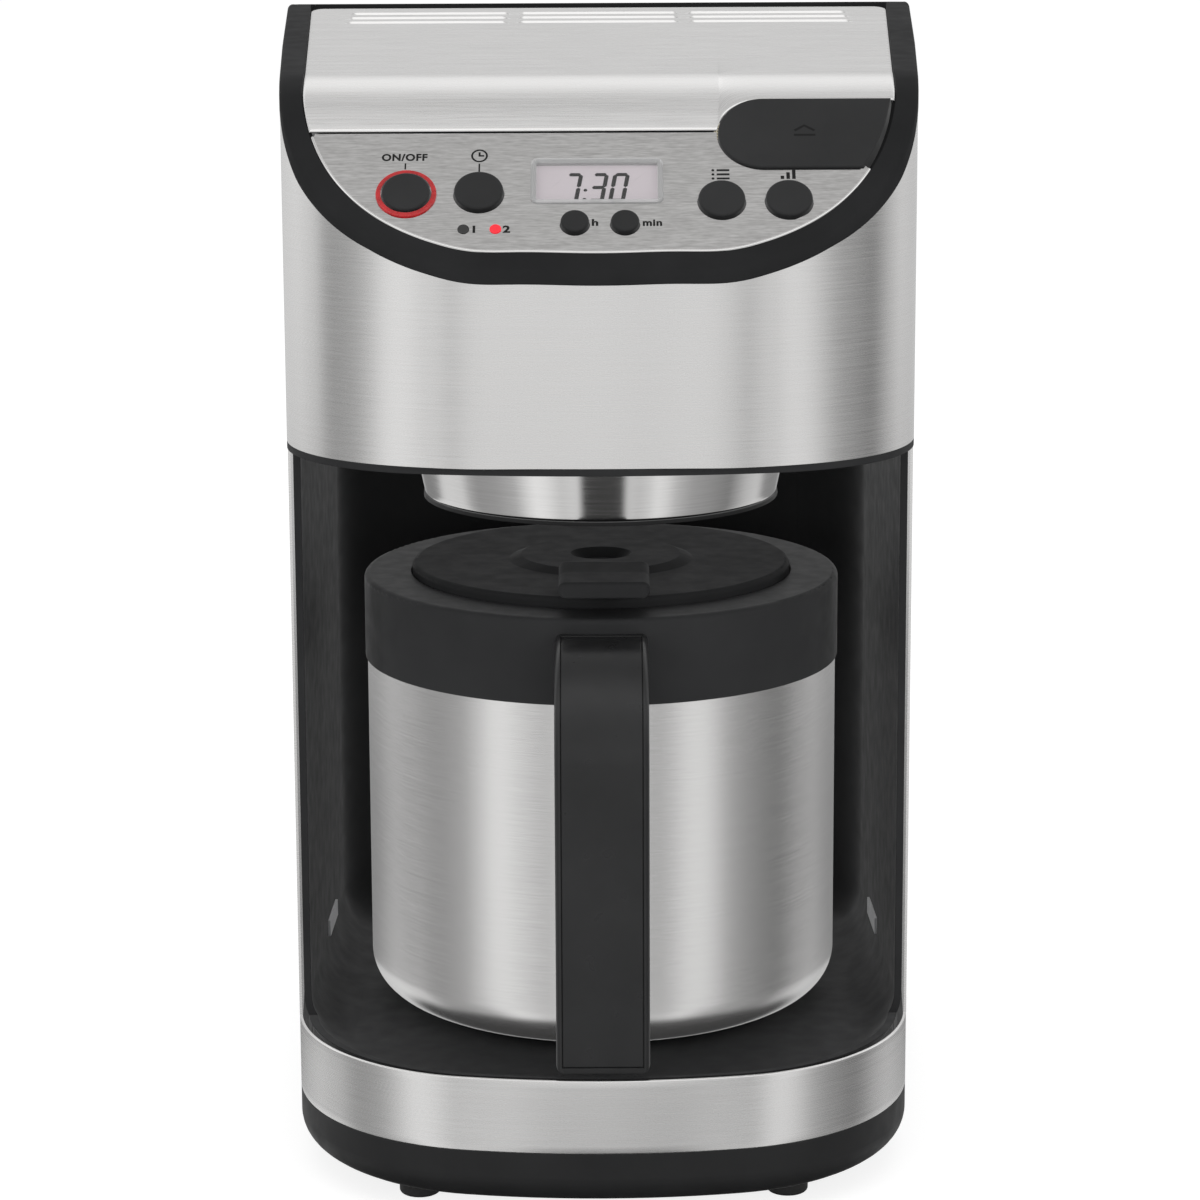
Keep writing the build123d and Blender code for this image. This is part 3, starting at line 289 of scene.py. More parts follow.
@dataclass(frozen=True)
class BrushedSteel:
    """Stainless sheet with brush lines of two lengths."""

    name: str
    grain: Grain
    dark: float = 0.66
    light: float = 0.73
    roughness: float = 0.27
    stretch: float = 0.6
    relief: float = 0.10
    warmth: float = 0.006
    long_line: Pair = (9.0, 1700.0)
    short_line: Pair = (70.0, 3600.0)
    reach: Pair = (0.36, 0.64)
    edge: float = 0.0
    metal: float = 1.0
    uneven: float = 0.03
    depth: float = 0.03
    quarter_turn: float = 0.25

    def lines(self, wiring: Wiring, size: Pair) -> Socket:
        """Noise that is slow along the brush and quick across it.

        Args:
            wiring: Graph of the finish.
            size: Frequencies along and across the brush.

        Returns:
            The noise, from 0 to 1.
        """
        along, across = size
        if self.grain is Grain.MAPPED:
            own = wiring.add("UVMap", {}, "UV", uv_map="brush")
            return wiring.noise((along, across, 1.0), 2.0, own)
        return wiring.noise((along, across, across), 2.0)

    def tone(self, level: float) -> Colour:
        """Level with a faint warm cast."""
        return (level + self.warmth, level, level - self.warmth, 1.0)

    def material(self) -> Material:
        """Long and short brush lines that shift tone, gloss and relief together.

        Returns:
            The new material.
        """
        wiring = Wiring(self.name)
        sizes = (self.long_line, self.short_line)
        parts = [wiring.math("MULTIPLY", self.lines(wiring, size), 0.5) for size in sizes]
        brush = wiring.math("ADD", *parts)
        share = wiring.spread(brush, 0.0, 1.0, *self.reach)
        gloss = (self.roughness - self.uneven, self.roughness + self.uneven)
        inputs = {
            "Base Color": wiring.blend(share, self.tone(self.dark), self.tone(self.light)),
            "Metallic": self.metal,
            "Roughness": wiring.spread(brush, *gloss, *self.reach),
            "Anisotropic": self.stretch,
            "Anisotropic Rotation": self.quarter_turn,
            "Normal": wiring.bump(brush, self.relief, self.depth * MM, self.edge * MM),
        }
        if self.grain is Grain.MAPPED:
            inputs["Tangent"] = wiring.add("Tangent", {}, "Tangent", direction_type="UV_MAP", uv_map="brush")
        return wiring.finish(inputs)


@dataclass(frozen=True)
class Mottled:
    """Two tones that drift into each other, with a gloss and a relief that go with them.

    A noise is a frequency per metre and a detail. A relief is a strength, and a depth and an edge
    radius in metres. The tones follow the broad noise, or only its values within the reach, up to the
    cover. The relief follows the fine noise where there is one, and the gloss does if fine_gloss is set.
    """

    name: str
    low: Colour
    high: Colour
    gloss: Pair
    broad: Pair
    cover: float = 1.0
    reach: Pair | None = None
    fine: Pair | None = None
    fine_gloss: bool = False
    relief: tuple[float, float, float] | None = None
    extra: tuple[tuple[str, Value], ...] = ()

    def material(self) -> Material:
        """Tones by the broad noise, and the rest by the noise that each follows.

        Returns:
            The new material.
        """
        wiring = Wiring(self.name)
        broad = wiring.noise(*self.broad)
        fine = wiring.noise(*self.fine) if self.fine else broad
        share = wiring.spread(broad, 0.0, self.cover, *self.reach) if self.reach else broad
        inputs = dict(self.extra)
        inputs["Base Color"] = wiring.blend(share, self.low, self.high)
        inputs["Roughness"] = wiring.spread(fine if self.fine_gloss else broad, *self.gloss)
        if self.relief:
            inputs["Normal"] = wiring.bump(fine, *self.relief)
        return wiring.finish(inputs)


@dataclass(frozen=True)
class LampPair:
    """Two small lamps moulded together: dark on the left of a line across, lit red on its right."""

    name: str
    split_x: float
    off: float = 0.018
    deep: Colour = (0.62, 0.006, 0.016, 1.0)
    bright: Colour = (0.80, 0.02, 0.035, 1.0)
    glow: Colour = (0.85, 0.01, 0.03, 1.0)
    power: float = 0.35

    def material(self) -> Material:
        """Red where the place across lies right of the line.

        Returns:
            The new material.
        """
        wiring = Wiring(self.name)
        across = wiring.add("SeparateXYZ", {"Vector": wiring.place}, "X")
        lit = wiring.math("GREATER_THAN", across, self.split_x * MM)
        mottle = wiring.noise(600.0)
        red = wiring.blend(mottle, self.deep, self.bright)
        return wiring.finish({
            "Base Color": wiring.blend(lit, grey(self.off), red),
            "Roughness": wiring.spread(mottle, 0.26, 0.36),
            "Emission Color": self.glow,
            "Emission Strength": wiring.math("MULTIPLY", lit, self.power),
            "Normal": wiring.bump(mottle, 0.08, 0.00004, 0.0002),
        })


@dataclass(frozen=True)
class CircuitBoard:
    """Green board with copper runs under the mask."""

    name: str
    mask: Colour = (0.008, 0.075, 0.03, 1.0)
    run: Colour = (0.03, 0.17, 0.07, 1.0)
    per_metre: float = 260.0

    def material(self) -> Material:
        """Runs of lighter green in a brick layout.

        Returns:
            The new material.
        """
        wiring = Wiring(self.name)
        place = wiring.add("Mapping", {"Vector": wiring.place, "Scale": (self.per_metre,) * 3}, "Vector")
        runs = wiring.add("TexBrick", {"Vector": place, "Scale": 1.0, "Mortar Size": 0.06}, "Fac")
        return wiring.finish({
            "Base Color": wiring.blend(runs, self.mask, self.run),
            "Roughness": wiring.spread(runs, 0.3, 0.45, 0.0, 1.0),
            "Normal": wiring.bump(runs, 0.2, 0.00005),
        })


@dataclass(frozen=True)
class WovenWire:
    """Fine woven wire of the lasting filter."""

    name: str
    pitch: float = 0.9
    # Colour of the holes: painted shade, dark where one looks into the weave.
    hole: Colour = (0.05, 0.045, 0.035, 1.0)
    wire: Colour = (0.62, 0.56, 0.42, 1.0)

    def material(self) -> Material:
        """Crossing waves that lift the wires, and painted shade that darkens the holes between them.

        Returns:
            The new material.
        """
        wiring = Wiring(self.name)
        waves = []
        for axis in ("X", "Z"):
            inputs = {"Vector": wiring.place, "Scale": 0.314 / (self.pitch * MM), "Distortion": 0.0}
            waves.append(wiring.add("TexWave", inputs, "Fac", bands_direction=axis))
        wires = wiring.math("MAXIMUM", *waves)
        return wiring.finish({
            "Base Color": wiring.blend(wires, self.hole, self.wire),
            "Metallic": 1.0,
            "Roughness": wiring.spread(wires, 0.5, 0.28, 0.0, 1.0),
            "Normal": wiring.bump(wires, 0.5, 0.0003),
        })


def clear(name: str, alpha: float, level: float, gloss: Pair) -> Mottled:
    """Clear plastic with faint moulding waves."""
    return Mottled(name, grey(level), grey(1.08 * level), gloss, (90.0, 2.0), relief=(0.06, 0.0001, 0.0),
                   extra=(("Alpha", alpha),))


def ink_and_painted_shade(name: str, level: float) -> Mottled:
    """Flat dark finish, thinner in tiny spots: printed ink for the marks, and painted shade in the louvres'
    slots.
    """
    return Mottled(name, grey(level), grey(2.2 * level), (0.5, 0.65), (5000.0, 2.0), 0.4, SOFT_REACH,
                   extra=(("Specular IOR Level", 0.15),))


SATIN_BLACK = MouldedPlastic("satin_black", 0.0135, 0.0175)
BEZEL_BLACK = MouldedPlastic("bezel_black", 0.020, 0.026, sheen=0.01)
# Lighter than the other black plastic: painted light that lifts the shade inside the bay.
BAY_BLACK_PAINTED_LIGHT = MouldedPlastic("bay_black_painted_light", 0.026, 0.033, 0.55, sheen=0.06)
CARAFE_BLACK = MouldedPlastic("carafe_black", 0.032, 0.039, 0.46, relief=0.10, sheen=0.05)
HANDLE_BLACK = MouldedPlastic("handle_black", 0.018, 0.023, 0.32, relief=0.10, sheen=0.25)
# A shade darker than the carafe's black plastic: painted shade from the head above the stopper.
STOPPER_BLACK_PAINTED_SHADE = MouldedPlastic("stopper_black_painted_shade", 0.028, 0.035, 0.5, relief=0.10, sheen=0.015)
BUTTON_BLACK = MouldedPlastic("button_black", 0.0170, 0.0220, 0.5, relief=0.18)
# Lighter than the tank's grey plastic: painted light that lifts the pads out of the bay's shade.
PAD_GREY_PAINTED_LIGHT = MouldedPlastic("pad_grey_painted_light", 0.36, 0.46, 0.4, sheen=0.4)
TANK_GREY = MouldedPlastic("tank_grey", 0.20, 0.27, 0.4, sheen=0.4)
GLOSS_BLACK = MouldedPlastic("gloss_black", 0.010, 0.014, 0.18, relief=0.05, sheen=0.5)
SHEET_STEEL = BrushedSteel("sheet_steel", Grain.MAPPED)
LID_STEEL = BrushedSteel("lid_steel", Grain.MAPPED, 0.66, 0.74, 0.28, long_line=(18.0, 1500.0))
CARAFE_STEEL = BrushedSteel("carafe_steel", Grain.MAPPED, 0.65, 0.71, 0.24, metal=0.92, relief=0.04,
                            long_line=(30.0, 3400.0), short_line=(140.0, 6500.0))
POLISHED_STEEL = BrushedSteel("polished_steel", Grain.MAPPED, 0.62, 0.68, 0.14, stretch=0.4, relief=0.05)
PANEL_STEEL = BrushedSteel("panel_steel", Grain.ACROSS, 0.385, 0.53, 0.34, stretch=0.0, relief=0.35,
                           long_line=(140.0, 1600.0), short_line=(350.0, 2600.0), edge=0.3)
SCREW_STEEL = BrushedSteel("screw_steel", Grain.ACROSS, roughness=0.35, stretch=0.0, edge=0.3)
CHALKY_RUBBER = Mottled("chalky_rubber", grey(0.014), grey(0.042), (0.66, 0.9), (220.0, 4.0), 0.6, SOFT_REACH,
                        fine=(1500.0, 2.0), relief=(0.25, 0.0001, 0.0005),
                        extra=(("Specular IOR Level", 0.3),))
RED_RING = Mottled("red_ring", (0.36, 0.006, 0.008, 1.0), (0.56, 0.011, 0.015, 1.0), (0.22, 0.34),
                   (420.0, 3.0), reach=SOFT_REACH, relief=(0.1, 0.00005, 0.0002),
                   extra=(("Coat Weight", 0.1), ("Coat Roughness", 0.12)))
LAMPS = LampPair("lamp_pair", -35.1)
PANE = clear("clear_pane", 0.06, 0.85, (0.08, 0.14))
RIM_CLEAR = clear("clear_rim", 0.6, 0.62, (0.10, 0.16))
# The display's faint emission in its own tone is a painted glow that lightens it.
DISPLAY = Mottled("pale_display_painted_glow", (0.46, 0.415, 0.44, 1.0), (0.53, 0.485, 0.51, 1.0), (0.35, 0.5),
                  (40.0, 2.0), fine=(3000.0, 0.0), fine_gloss=True, relief=(0.05, 0.00003, 0.0),
                  extra=(("Emission Color", (0.68, 0.63, 0.66, 1.0)), ("Emission Strength", 0.08)))
INK = ink_and_painted_shade("panel_ink", 0.008)
DIGIT_INK = ink_and_painted_shade("digit_ink", 0.005)
SIGN_INK = ink_and_painted_shade("sign_ink", 0.006)
# Dark strips behind the louvres: painted shade that stands in for their openings.
SLOT_PAINTED_SHADE = ink_and_painted_shade("slot_painted_shade", 0.004)
GREEN_BOARD = CircuitBoard("green_board")
CAST_METAL = Mottled("cast_metal", grey(0.38), grey(0.62), (0.42, 0.62), (1100.0, 4.0),
                     relief=(0.35, 0.0002, 0.0006), extra=(("Metallic", 1.0),))
WOVEN_WIRE = WovenWire("woven_wire")

Finish = MouldedPlastic | BrushedSteel | Mottled | LampPair | CircuitBoard | WovenWire


def made(finish: Finish) -> Material:
    """Material of a finish, made once."""
    return bpy.data.materials.get(finish.name) or finish.material()


def grid_faces(rows: int, cols: int, round_rows: bool, round_cols: bool) -> Array:
    """Quads of a grid of points stored row by row.

    Args:
        rows: Number of rows.
        cols: Number of points in a row.
        round_rows: Whether the last row joins the first.
        round_cols: Whether each row closes on itself.

    Returns:
        Array of four point numbers for each quad.
    """
    row = np.arange(rows if round_rows else rows - 1)[:, None]
    col = np.arange(cols if round_cols else cols - 1)[None, :]
    next_row, next_col = (row + 1) % rows, (col + 1) % cols
    corners = [row * cols + col, row * cols + next_col, next_row * cols + next_col, next_row * cols + col]
    return np.stack(corners, axis=-1).reshape(-1, 4)


def put_in(name: str, data: bpy.types.ID) -> Piece:
    """Put a new object with some data in the scene, at the origin.

    Args:
        name: Name of the object.
        data: Its mesh, curve, lamp or lens.

    Returns:
        The new object.
    """
    thing = bpy.data.objects.new(name, data)
    bpy.context.scene.collection.objects.link(thing)
    return thing


def lay(name: str, points: Array, faces: Array, uv: Array | None = None) -> Piece:
    """Make an object from points in millimetres.

    Args:
        name: Name of the piece.
        points: Array of x, y, z for each point.
        faces: Array of point numbers for each face.
        uv: Two pattern coordinates in millimetres for each point, if the finish follows the surface.

    Returns:
        The new object, at the origin.
    """
    mesh = bpy.data.meshes.new(name)
    mesh.from_pydata((points.reshape(-1, 3) * MM).tolist(), [], faces.tolist())
    mesh.shade_smooth()
    if uv is not None:
        corner = np.empty(len(mesh.loops), dtype=np.int32)
        mesh.loops.foreach_get("vertex_index", corner)
        layer = mesh.uv_layers.new(name="brush")
        layer.data.foreach_set("uv", (uv.reshape(-1, 2)[corner] * MM).astype(np.float32).ravel())
    mesh.set_sharp_from_angle(angle=CREASE)
    return put_in(name, mesh)


def lay_grid(name: str, points: Array, round_rows: bool = False, round_cols: bool = False,
             uv: Array | None = None) -> Piece:
    """Make an object from a grid of points, whose rows and columns may close on themselves."""
    return lay(name, points, grid_faces(*points.shape[:2], round_rows, round_cols), uv)


def thicken(piece: Piece, depth: float) -> Piece:
    """Give a sheet a thickness in millimetres behind its faces.

    Args:
        piece: Sheet to thicken.
        depth: Thickness.

    Returns:
        The same object.
    """
    sheet = piece.modifiers.new("thickness", "SOLIDIFY")
    sheet.thickness = depth * MM
    sheet.offset = -1.0
    return piece


def dress(piece: Piece, finish: Finish, body: str, slot: str, *nodes: str) -> None:
    """Give a new piece its finish and its body, and hide the nodes that it stands for.

    Args:
        piece: New object.
        finish: Finish of the piece.
        body: Body that carries it.
        slot: Not used.
        *nodes: Nodes of the frame that it replaces.
    """
    piece.data.materials.clear()
    piece.data.materials.append(made(finish))
    piece.visible_glossy = body in CARAFE_BODIES
    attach(piece, body)
    if nodes:
        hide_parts(*nodes)
    LOG.info("piece %s: %d faces", piece.name, len(piece.data.polygons))


def pack(*parts: Array | float) -> Array:
    """Points from their coordinates, brought to one shape."""
    return np.stack(np.broadcast_arrays(*parts), axis=-1)


def arc(centre: Pair, radius: float, start: float, end: float, count: int) -> Array:
    """Points on an arc between two angles in degrees, both ends included."""
    angle = np.radians(np.linspace(start, end, count))
    return pack(centre[0] + radius * np.cos(angle), centre[1] + radius * np.sin(angle))


def run_length(points: Array) -> Array:
    """Length along a line of points, from its first."""
    steps = np.linalg.norm(np.diff(points, axis=0), axis=1)
    return np.concatenate([[0.0], np.cumsum(steps)])


@dataclass(frozen=True)
class Machine:
    """Sizes and lines that the sub-assemblies share.

    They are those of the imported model, apart from the bezel's lip, its joint with the sheet and the
    flat of the head's front, which follow the photograph. A pair called v holds two depths, and the
    pair beside it the sizes there.
    """

    front: float = -117.55
    axis_v: float = 115.0
    split_v: float = 222.0
    flank_x: float = 92.89
    flare: float = math.tan(math.radians(3.7))
    head_front_r: float = 285.0
    head_corner_r: float = 54.5
    base_front_r: float = 228.0
    base_corner_r: float = 66.8
    sheet: float = 0.8
    lip_front: float = 5.7
    lip_side: float = 7.2
    lip_v: Pair = (20.0, 75.0)
    ledge: float = 7.6
    joint_v: Pair = (10.0, 32.0)
    joint_depths: Pair = (1.9, 4.2)
    flat_dip: float = 1.9
    flat_x: float = 40.0
    flat_w: float = 15.0
    rear_v: float = 236.0
    rear_corner: float = 18.0
    nose_z: float = 287.5
    slope_deg: float = 44.0
    lid_deg: float = 5.0
    fall_deg: float = 38.0
    joint_drop: float = 2.5
    bend_s: float = 78.0
    bend_r: float = 38.0
    fall_r: float = 10.0
    open_x: float = 49.1
    open_s: float = 56.45
    open_r: float = 13.65
    seam_s: float = 57.75
    seam_gap: float = 1.0
    play: float = 0.4
    corner_steps: int = 14
    rear_steps: int = 24

    @property
    def slope_way(self) -> Pair:
        """Sine and cosine of the panel's slope."""
        return math.sin(math.radians(self.slope_deg)), math.cos(math.radians(self.slope_deg))

    @property
    def slope_foot(self) -> Pair:
        """Depth and height where the panel's plane starts."""
        sine, cosine = self.slope_way
        return -self.joint_drop * sine, self.nose_z + self.joint_drop * cosine

    def on_slope(self, x: Array, s: Array, d: Array | float) -> Array:
        """Points of the panel's plane: x across, s up the slope and d out of it.

        Args:
            x: Places across.
            s: Places up the slope.
            d: Distances out of it.

        Returns:
            Points (x, y, z).
        """
        sine, cosine = self.slope_way
        foot_v, foot_z = self.slope_foot
        return pack(x, self.front + foot_v + s * cosine - d * sine, foot_z + s * sine + d * cosine)

    def up_slope(self, v: Array) -> Array:
        """Way up the panel's slope at a depth."""
        return (v - self.slope_foot[0]) / self.slope_way[1]

    def stand(self, spots: Array, height: Array) -> Array:
        """Points over places (x, v) of the plan, at their own heights."""
        return pack(spots[..., 0], self.front + spots[..., 1], height)

    def crown(self, v: Array, d: float) -> Array:
        """Height of the bent top, moved out by d.

        The lowest of a slope, a lid line and a line that falls away at the rear, with a tangent
        arc in each of the two corners between them.

        Args:
            v: Depths from the front.
            d: Distance out of the surface.

        Returns:
            Height above the floor at each depth.
        """
        turns = np.radians([self.slope_deg, self.lid_deg, -self.fall_deg])
        sine, cosine, rise = np.sin(turns), np.cos(turns), np.tan(turns)
        foot_v, foot_z = self.slope_foot
        bend_v, bend_z = foot_v + self.bend_s * cosine[0], foot_z + self.bend_s * sine[0]
        line_v = np.array([foot_v, bend_v, self.split_v]) - d * sine
        line_z = np.array([foot_z, bend_z, bend_z + (self.split_v - bend_v) * rise[1]]) + d * cosine
        height = np.min(line_z + rise * (np.asarray(v)[..., None] - line_v), axis=-1)
        for corner, radius in ((0, self.bend_r + d), (1, self.fall_r + d)):
            after = corner + 1
            gap = line_z[after] - line_z[corner] + rise[corner] * line_v[corner] - rise[after] * line_v[after]
            tip_v = gap / (rise[corner] - rise[after])
            tip_z = line_z[corner] + rise[corner] * (tip_v - line_v[corner])
            reach = radius * math.tan(0.5 * (turns[corner] - turns[after]))
            start_v = tip_v - reach * cosine[corner]
            centre_v = start_v + radius * sine[corner]
            centre_z = tip_z - reach * sine[corner] - radius * cosine[corner]
            round_z = centre_z + np.sqrt(np.maximum(radius**2 - (v - centre_v) ** 2, 0.0))
            height = np.where((v >= start_v) & (v <= tip_v + reach * cosine[after]), round_z, height)
        return height

    def plan(self, front_r: float, corner_r: float, rear_v: float, inset: float = 0.0,
             fine: int = 40) -> Lines:
        """Outline of the machine from above, from its left rear round the front to its right rear.

        A front arc, two corner arcs that touch it and the flanks, and two straight flanks.

        Args:
            front_r: Radius of the front arc.
            corner_r: Radius of the corner arcs.
            rear_v: Depth where the flanks end.
            inset: Distance inward from that outline.
            fine: Number of steps on each stretch.

        Returns:
            Points (x, v) and outward normals, one row each.
        """
        size = math.hypot(1.0, self.flare)
        out = np.array([1.0, -self.flare]) / size
        along = np.array([self.flare, 1.0]) / size
        start = np.array([self.flank_x, 0.0]) - out * corner_r
        focus = np.array([0.0, front_r])
        offset = start - focus
        half_b = offset @ along
        run = -half_b - math.sqrt(half_b**2 - (offset @ offset - (front_r - corner_r) ** 2))
        centre = start + along * run
        away = (centre - focus) / np.linalg.norm(centre - focus)
        turn_first = math.atan2(away[0], -away[1])
        turn_last = math.atan2(out[0], -out[1])
        front = np.linspace(0.0, turn_first, fine + 1)
        corner = np.linspace(turn_first, turn_last, fine + 1)[1:]
        facing = np.concatenate([front, corner, np.full(fine, turn_last)])
        normal = pack(np.sin(facing), -np.cos(facing))
        arcs = np.concatenate([focus + (front_r - inset) * normal[:fine + 1],
                               centre + (corner_r - inset) * normal[fine + 1:2 * fine + 1]])
        tail = np.array([self.flank_x - inset * size + self.flare * rear_v, rear_v])
        share = np.linspace(0.0, 1.0, fine + 1)[1:, None]
        right = np.concatenate([arcs, arcs[-1] + share * (tail - arcs[-1])])
        points, normals = (np.concatenate([half[:0:-1] * MIRROR, half]) for half in (right, normal))
        return points, normals

    def rise(self, v: Array, step: float = 0.05) -> Array:
        """Slope of the bent top at a depth."""
        return (self.crown(v + step, 0.0) - self.crown(v - step, 0.0)) / (2.0 * step)

    def over_crown(self, v: Array, d: Array | float) -> Array:
        """Height over the bent top, at a distance d that is measured square to it."""
        return self.crown(v, 0.0) + d * np.hypot(1.0, self.rise(v))

    def flat_amount(self, x: Array) -> Array:
        """How far the head's front is flattened: a bell on each side of the middle."""
        return self.flat_dip * np.exp(-(((np.abs(x) - self.flat_x) / self.flat_w) ** 2))

    def head_plan(self, end_v: float | None = None) -> Lines:
        """Outline of the head and its normals, with its front flattened and its flanks up to a depth.

        Args:
            end_v: Depth where the flanks end, if not where the sheet ends.

        Returns:
            Points (x, v) and outward normals, one row each.
        """
        points, normals = self.plan(self.head_front_r, self.head_corner_r, end_v or self.split_v)
        points[:, 1] -= self.flat_amount(points[:, 0])
        return points, normals

    def lip(self, v: Array) -> Array:
        """Width of the bezel at a depth: narrow on the slope, wider beside the lid."""
        share = np.interp(v, self.lip_v, (0.0, 1.0))
        return self.lip_front + (self.lip_side - self.lip_front) * share**2 * (3.0 - 2.0 * share)

    def joint(self, v: Array) -> Array:
        """How far the joint of bezel and sheet lies below the bent top: deeper along the flanks."""
        return np.interp(v, self.joint_v, self.joint_depths)

    def inner_line(self, play: float) -> Lines:
        """Inner outline of the bezel moved inward by play, and its normals."""
        points, normals = self.head_plan()
        return points - normals * (self.lip(points[:, 1]) + play)[:, None], normals

    def half_width(self, v: Array) -> Array:
        """Half of the width inside the bezel at a depth, less the play.

        Args:
            v: Depths from the front.

        Returns:
            Half width at each depth.
        """
        points = self.inner_line(self.play)[0]
        right = points[len(points) // 2:]
        return np.interp(v, right[:, 1], right[:, 0])

    def ring(self, inset: Array | float, rear_v: float, corner: float) -> Lines:
        """Closed outline of the head: its plan, two rounded rear corners and a straight rear edge.

        Args:
            inset: Distance inward, one for all points of the plan or one for each.
            rear_v: Depth of the rear edge.
            corner: Radius of the rear corners.

        Returns:
            Points (x, v) and outward normals; all rings have as many points.
        """
        size = math.hypot(1.0, self.flare)
        end_v = rear_v - corner * (1.0 + self.flare / size)
        plan, normal = self.head_plan(end_v)
        side = np.broadcast_to(inset, len(plan))
        centre = np.array([self.flank_x - side[-1] * size + self.flare * (rear_v - corner) - corner * size,
                           rear_v - corner])
        turn = np.linspace(math.atan2(normal[-1, 0], -normal[-1, 1]), np.pi, self.corner_steps)[1:]
        corner_normal = pack(np.sin(turn), -np.cos(turn))
        right = centre + corner * corner_normal
        rear = pack(np.linspace(right[-1, 0], -right[-1, 0], self.rear_steps)[1:-1], rear_v)
        points = np.concatenate([plan - normal * side[:, None], right, rear, right[::-1] * MIRROR])
        backward = np.tile([0.0, 1.0], (len(rear), 1))
        return points, np.concatenate([normal, corner_normal, backward, corner_normal[::-1] * MIRROR])


def turned(name: str, outline: Array, machine: Machine, steps: int = 192) -> Piece:
    """Closed body of revolution about the carafe's axis, with its join at the rear.

    Args:
        name: Name of the piece.
        outline: Closed outline of (radius, height) points, inside on its left.
        machine: Shared sizes, which hold the axis.
        steps: Number of steps round the axis.

    Returns:
        The new object.
    """
    angle = np.linspace(np.pi, 3.0 * np.pi, steps, endpoint=False)
    radius, height = outline[:, :1], outline[:, 1:]
    points = machine.stand(pack(radius * np.sin(angle), machine.axis_v - radius * np.cos(angle)), height)
    brush = pack(angle * radius.max(), run_length(outline)[:, None])
    return lay_grid(name, points, True, True, brush)


@dataclass
class Head:
    """Steel sheet round the head and down the cheeks."""

    machine: Machine
    low_z: float = 46.1
    floor_z: float = 234.3
    tuck: float = 0.3
    cheek_v: float = 62.0
    rows: int = 28
    cols: int = 40

    def wall(self, line: Array, low: Array, high: Array,
             run: Array) -> Lines:
        """Upright wall on a line of the plan.

        The height runs from low to high in even steps at each point of the line.

        Args:
            line: Points (x, v) of the plan.
            low: Lowest height at each point.
            high: Highest height at each point.
            run: Length along the plan at each point.

        Returns:
            Grid of points, and the brush map of length and height.
        """
        share = np.linspace(0.0, 1.0, self.rows)[:, None]
        height = low + share * (high - low)
        return self.machine.stand(line, height), pack(run, height)

    def cheek(self, plan: Array, length: Array, side: float) -> Lines:
        """Lower wall of one flank, behind the mouth of the bay.

        Args:
            plan: Points (x, v) of the head's outline.
            length: Length along it at each point.
            side: -1 for the left flank, 1 for the right.

        Returns:
            Grid of points, and their brush map.
        """
        chosen = plan[:, 0] * side > 0.0
        order = np.argsort(plan[chosen, 1])
        depth = plan[chosen, 1][order]
        v = np.linspace(self.cheek_v, self.machine.split_v, self.cols)[::int(side)]
        line = pack(np.interp(v, depth, plan[chosen, 0][order]), v)
        run = np.interp(v, depth, length[chosen][order])
        return self.wall(line, np.full(self.cols, self.low_z), np.full(self.cols, self.floor_z), run)

    def sheet(self) -> Piece:
        """Sheet that rises to the crown all round, and down to the base behind the mouth of the bay.

        Returns:
            The new object.
        """
        machine = self.machine
        plan = machine.head_plan()[0]
        length = run_length(plan)
        top = machine.over_crown(plan[:, 1], self.tuck - machine.joint(plan[:, 1]))
        grids = [self.wall(plan, np.full(len(plan), self.floor_z), top, length)]
        grids += [self.cheek(plan, length, side) for side in (-1.0, 1.0)]
        sizes = [grid[0].shape[0] * grid[0].shape[1] for grid in grids]
        firsts = np.cumsum([0] + sizes[:-1])
        faces = [grid_faces(*grid[0].shape[:2], False, False) + first for grid, first in zip(grids, firsts)]
        points = np.concatenate([grid[0].reshape(-1, 3) for grid in grids])
        brush = np.concatenate([grid[1].reshape(-1, 2) for grid in grids])
        piece = thicken(lay("steel_sheet", points, np.concatenate(faces), brush), machine.sheet)
        piece.modifiers.new("crisp_rim", "EDGE_SPLIT").split_angle = CREASE
        return piece

    def build(self) -> None:
        """Make the sheet and put it in place of its node."""
        dress(self.sheet(), SHEET_STEEL, "machine", "brushed_steel", "steel_wrap")


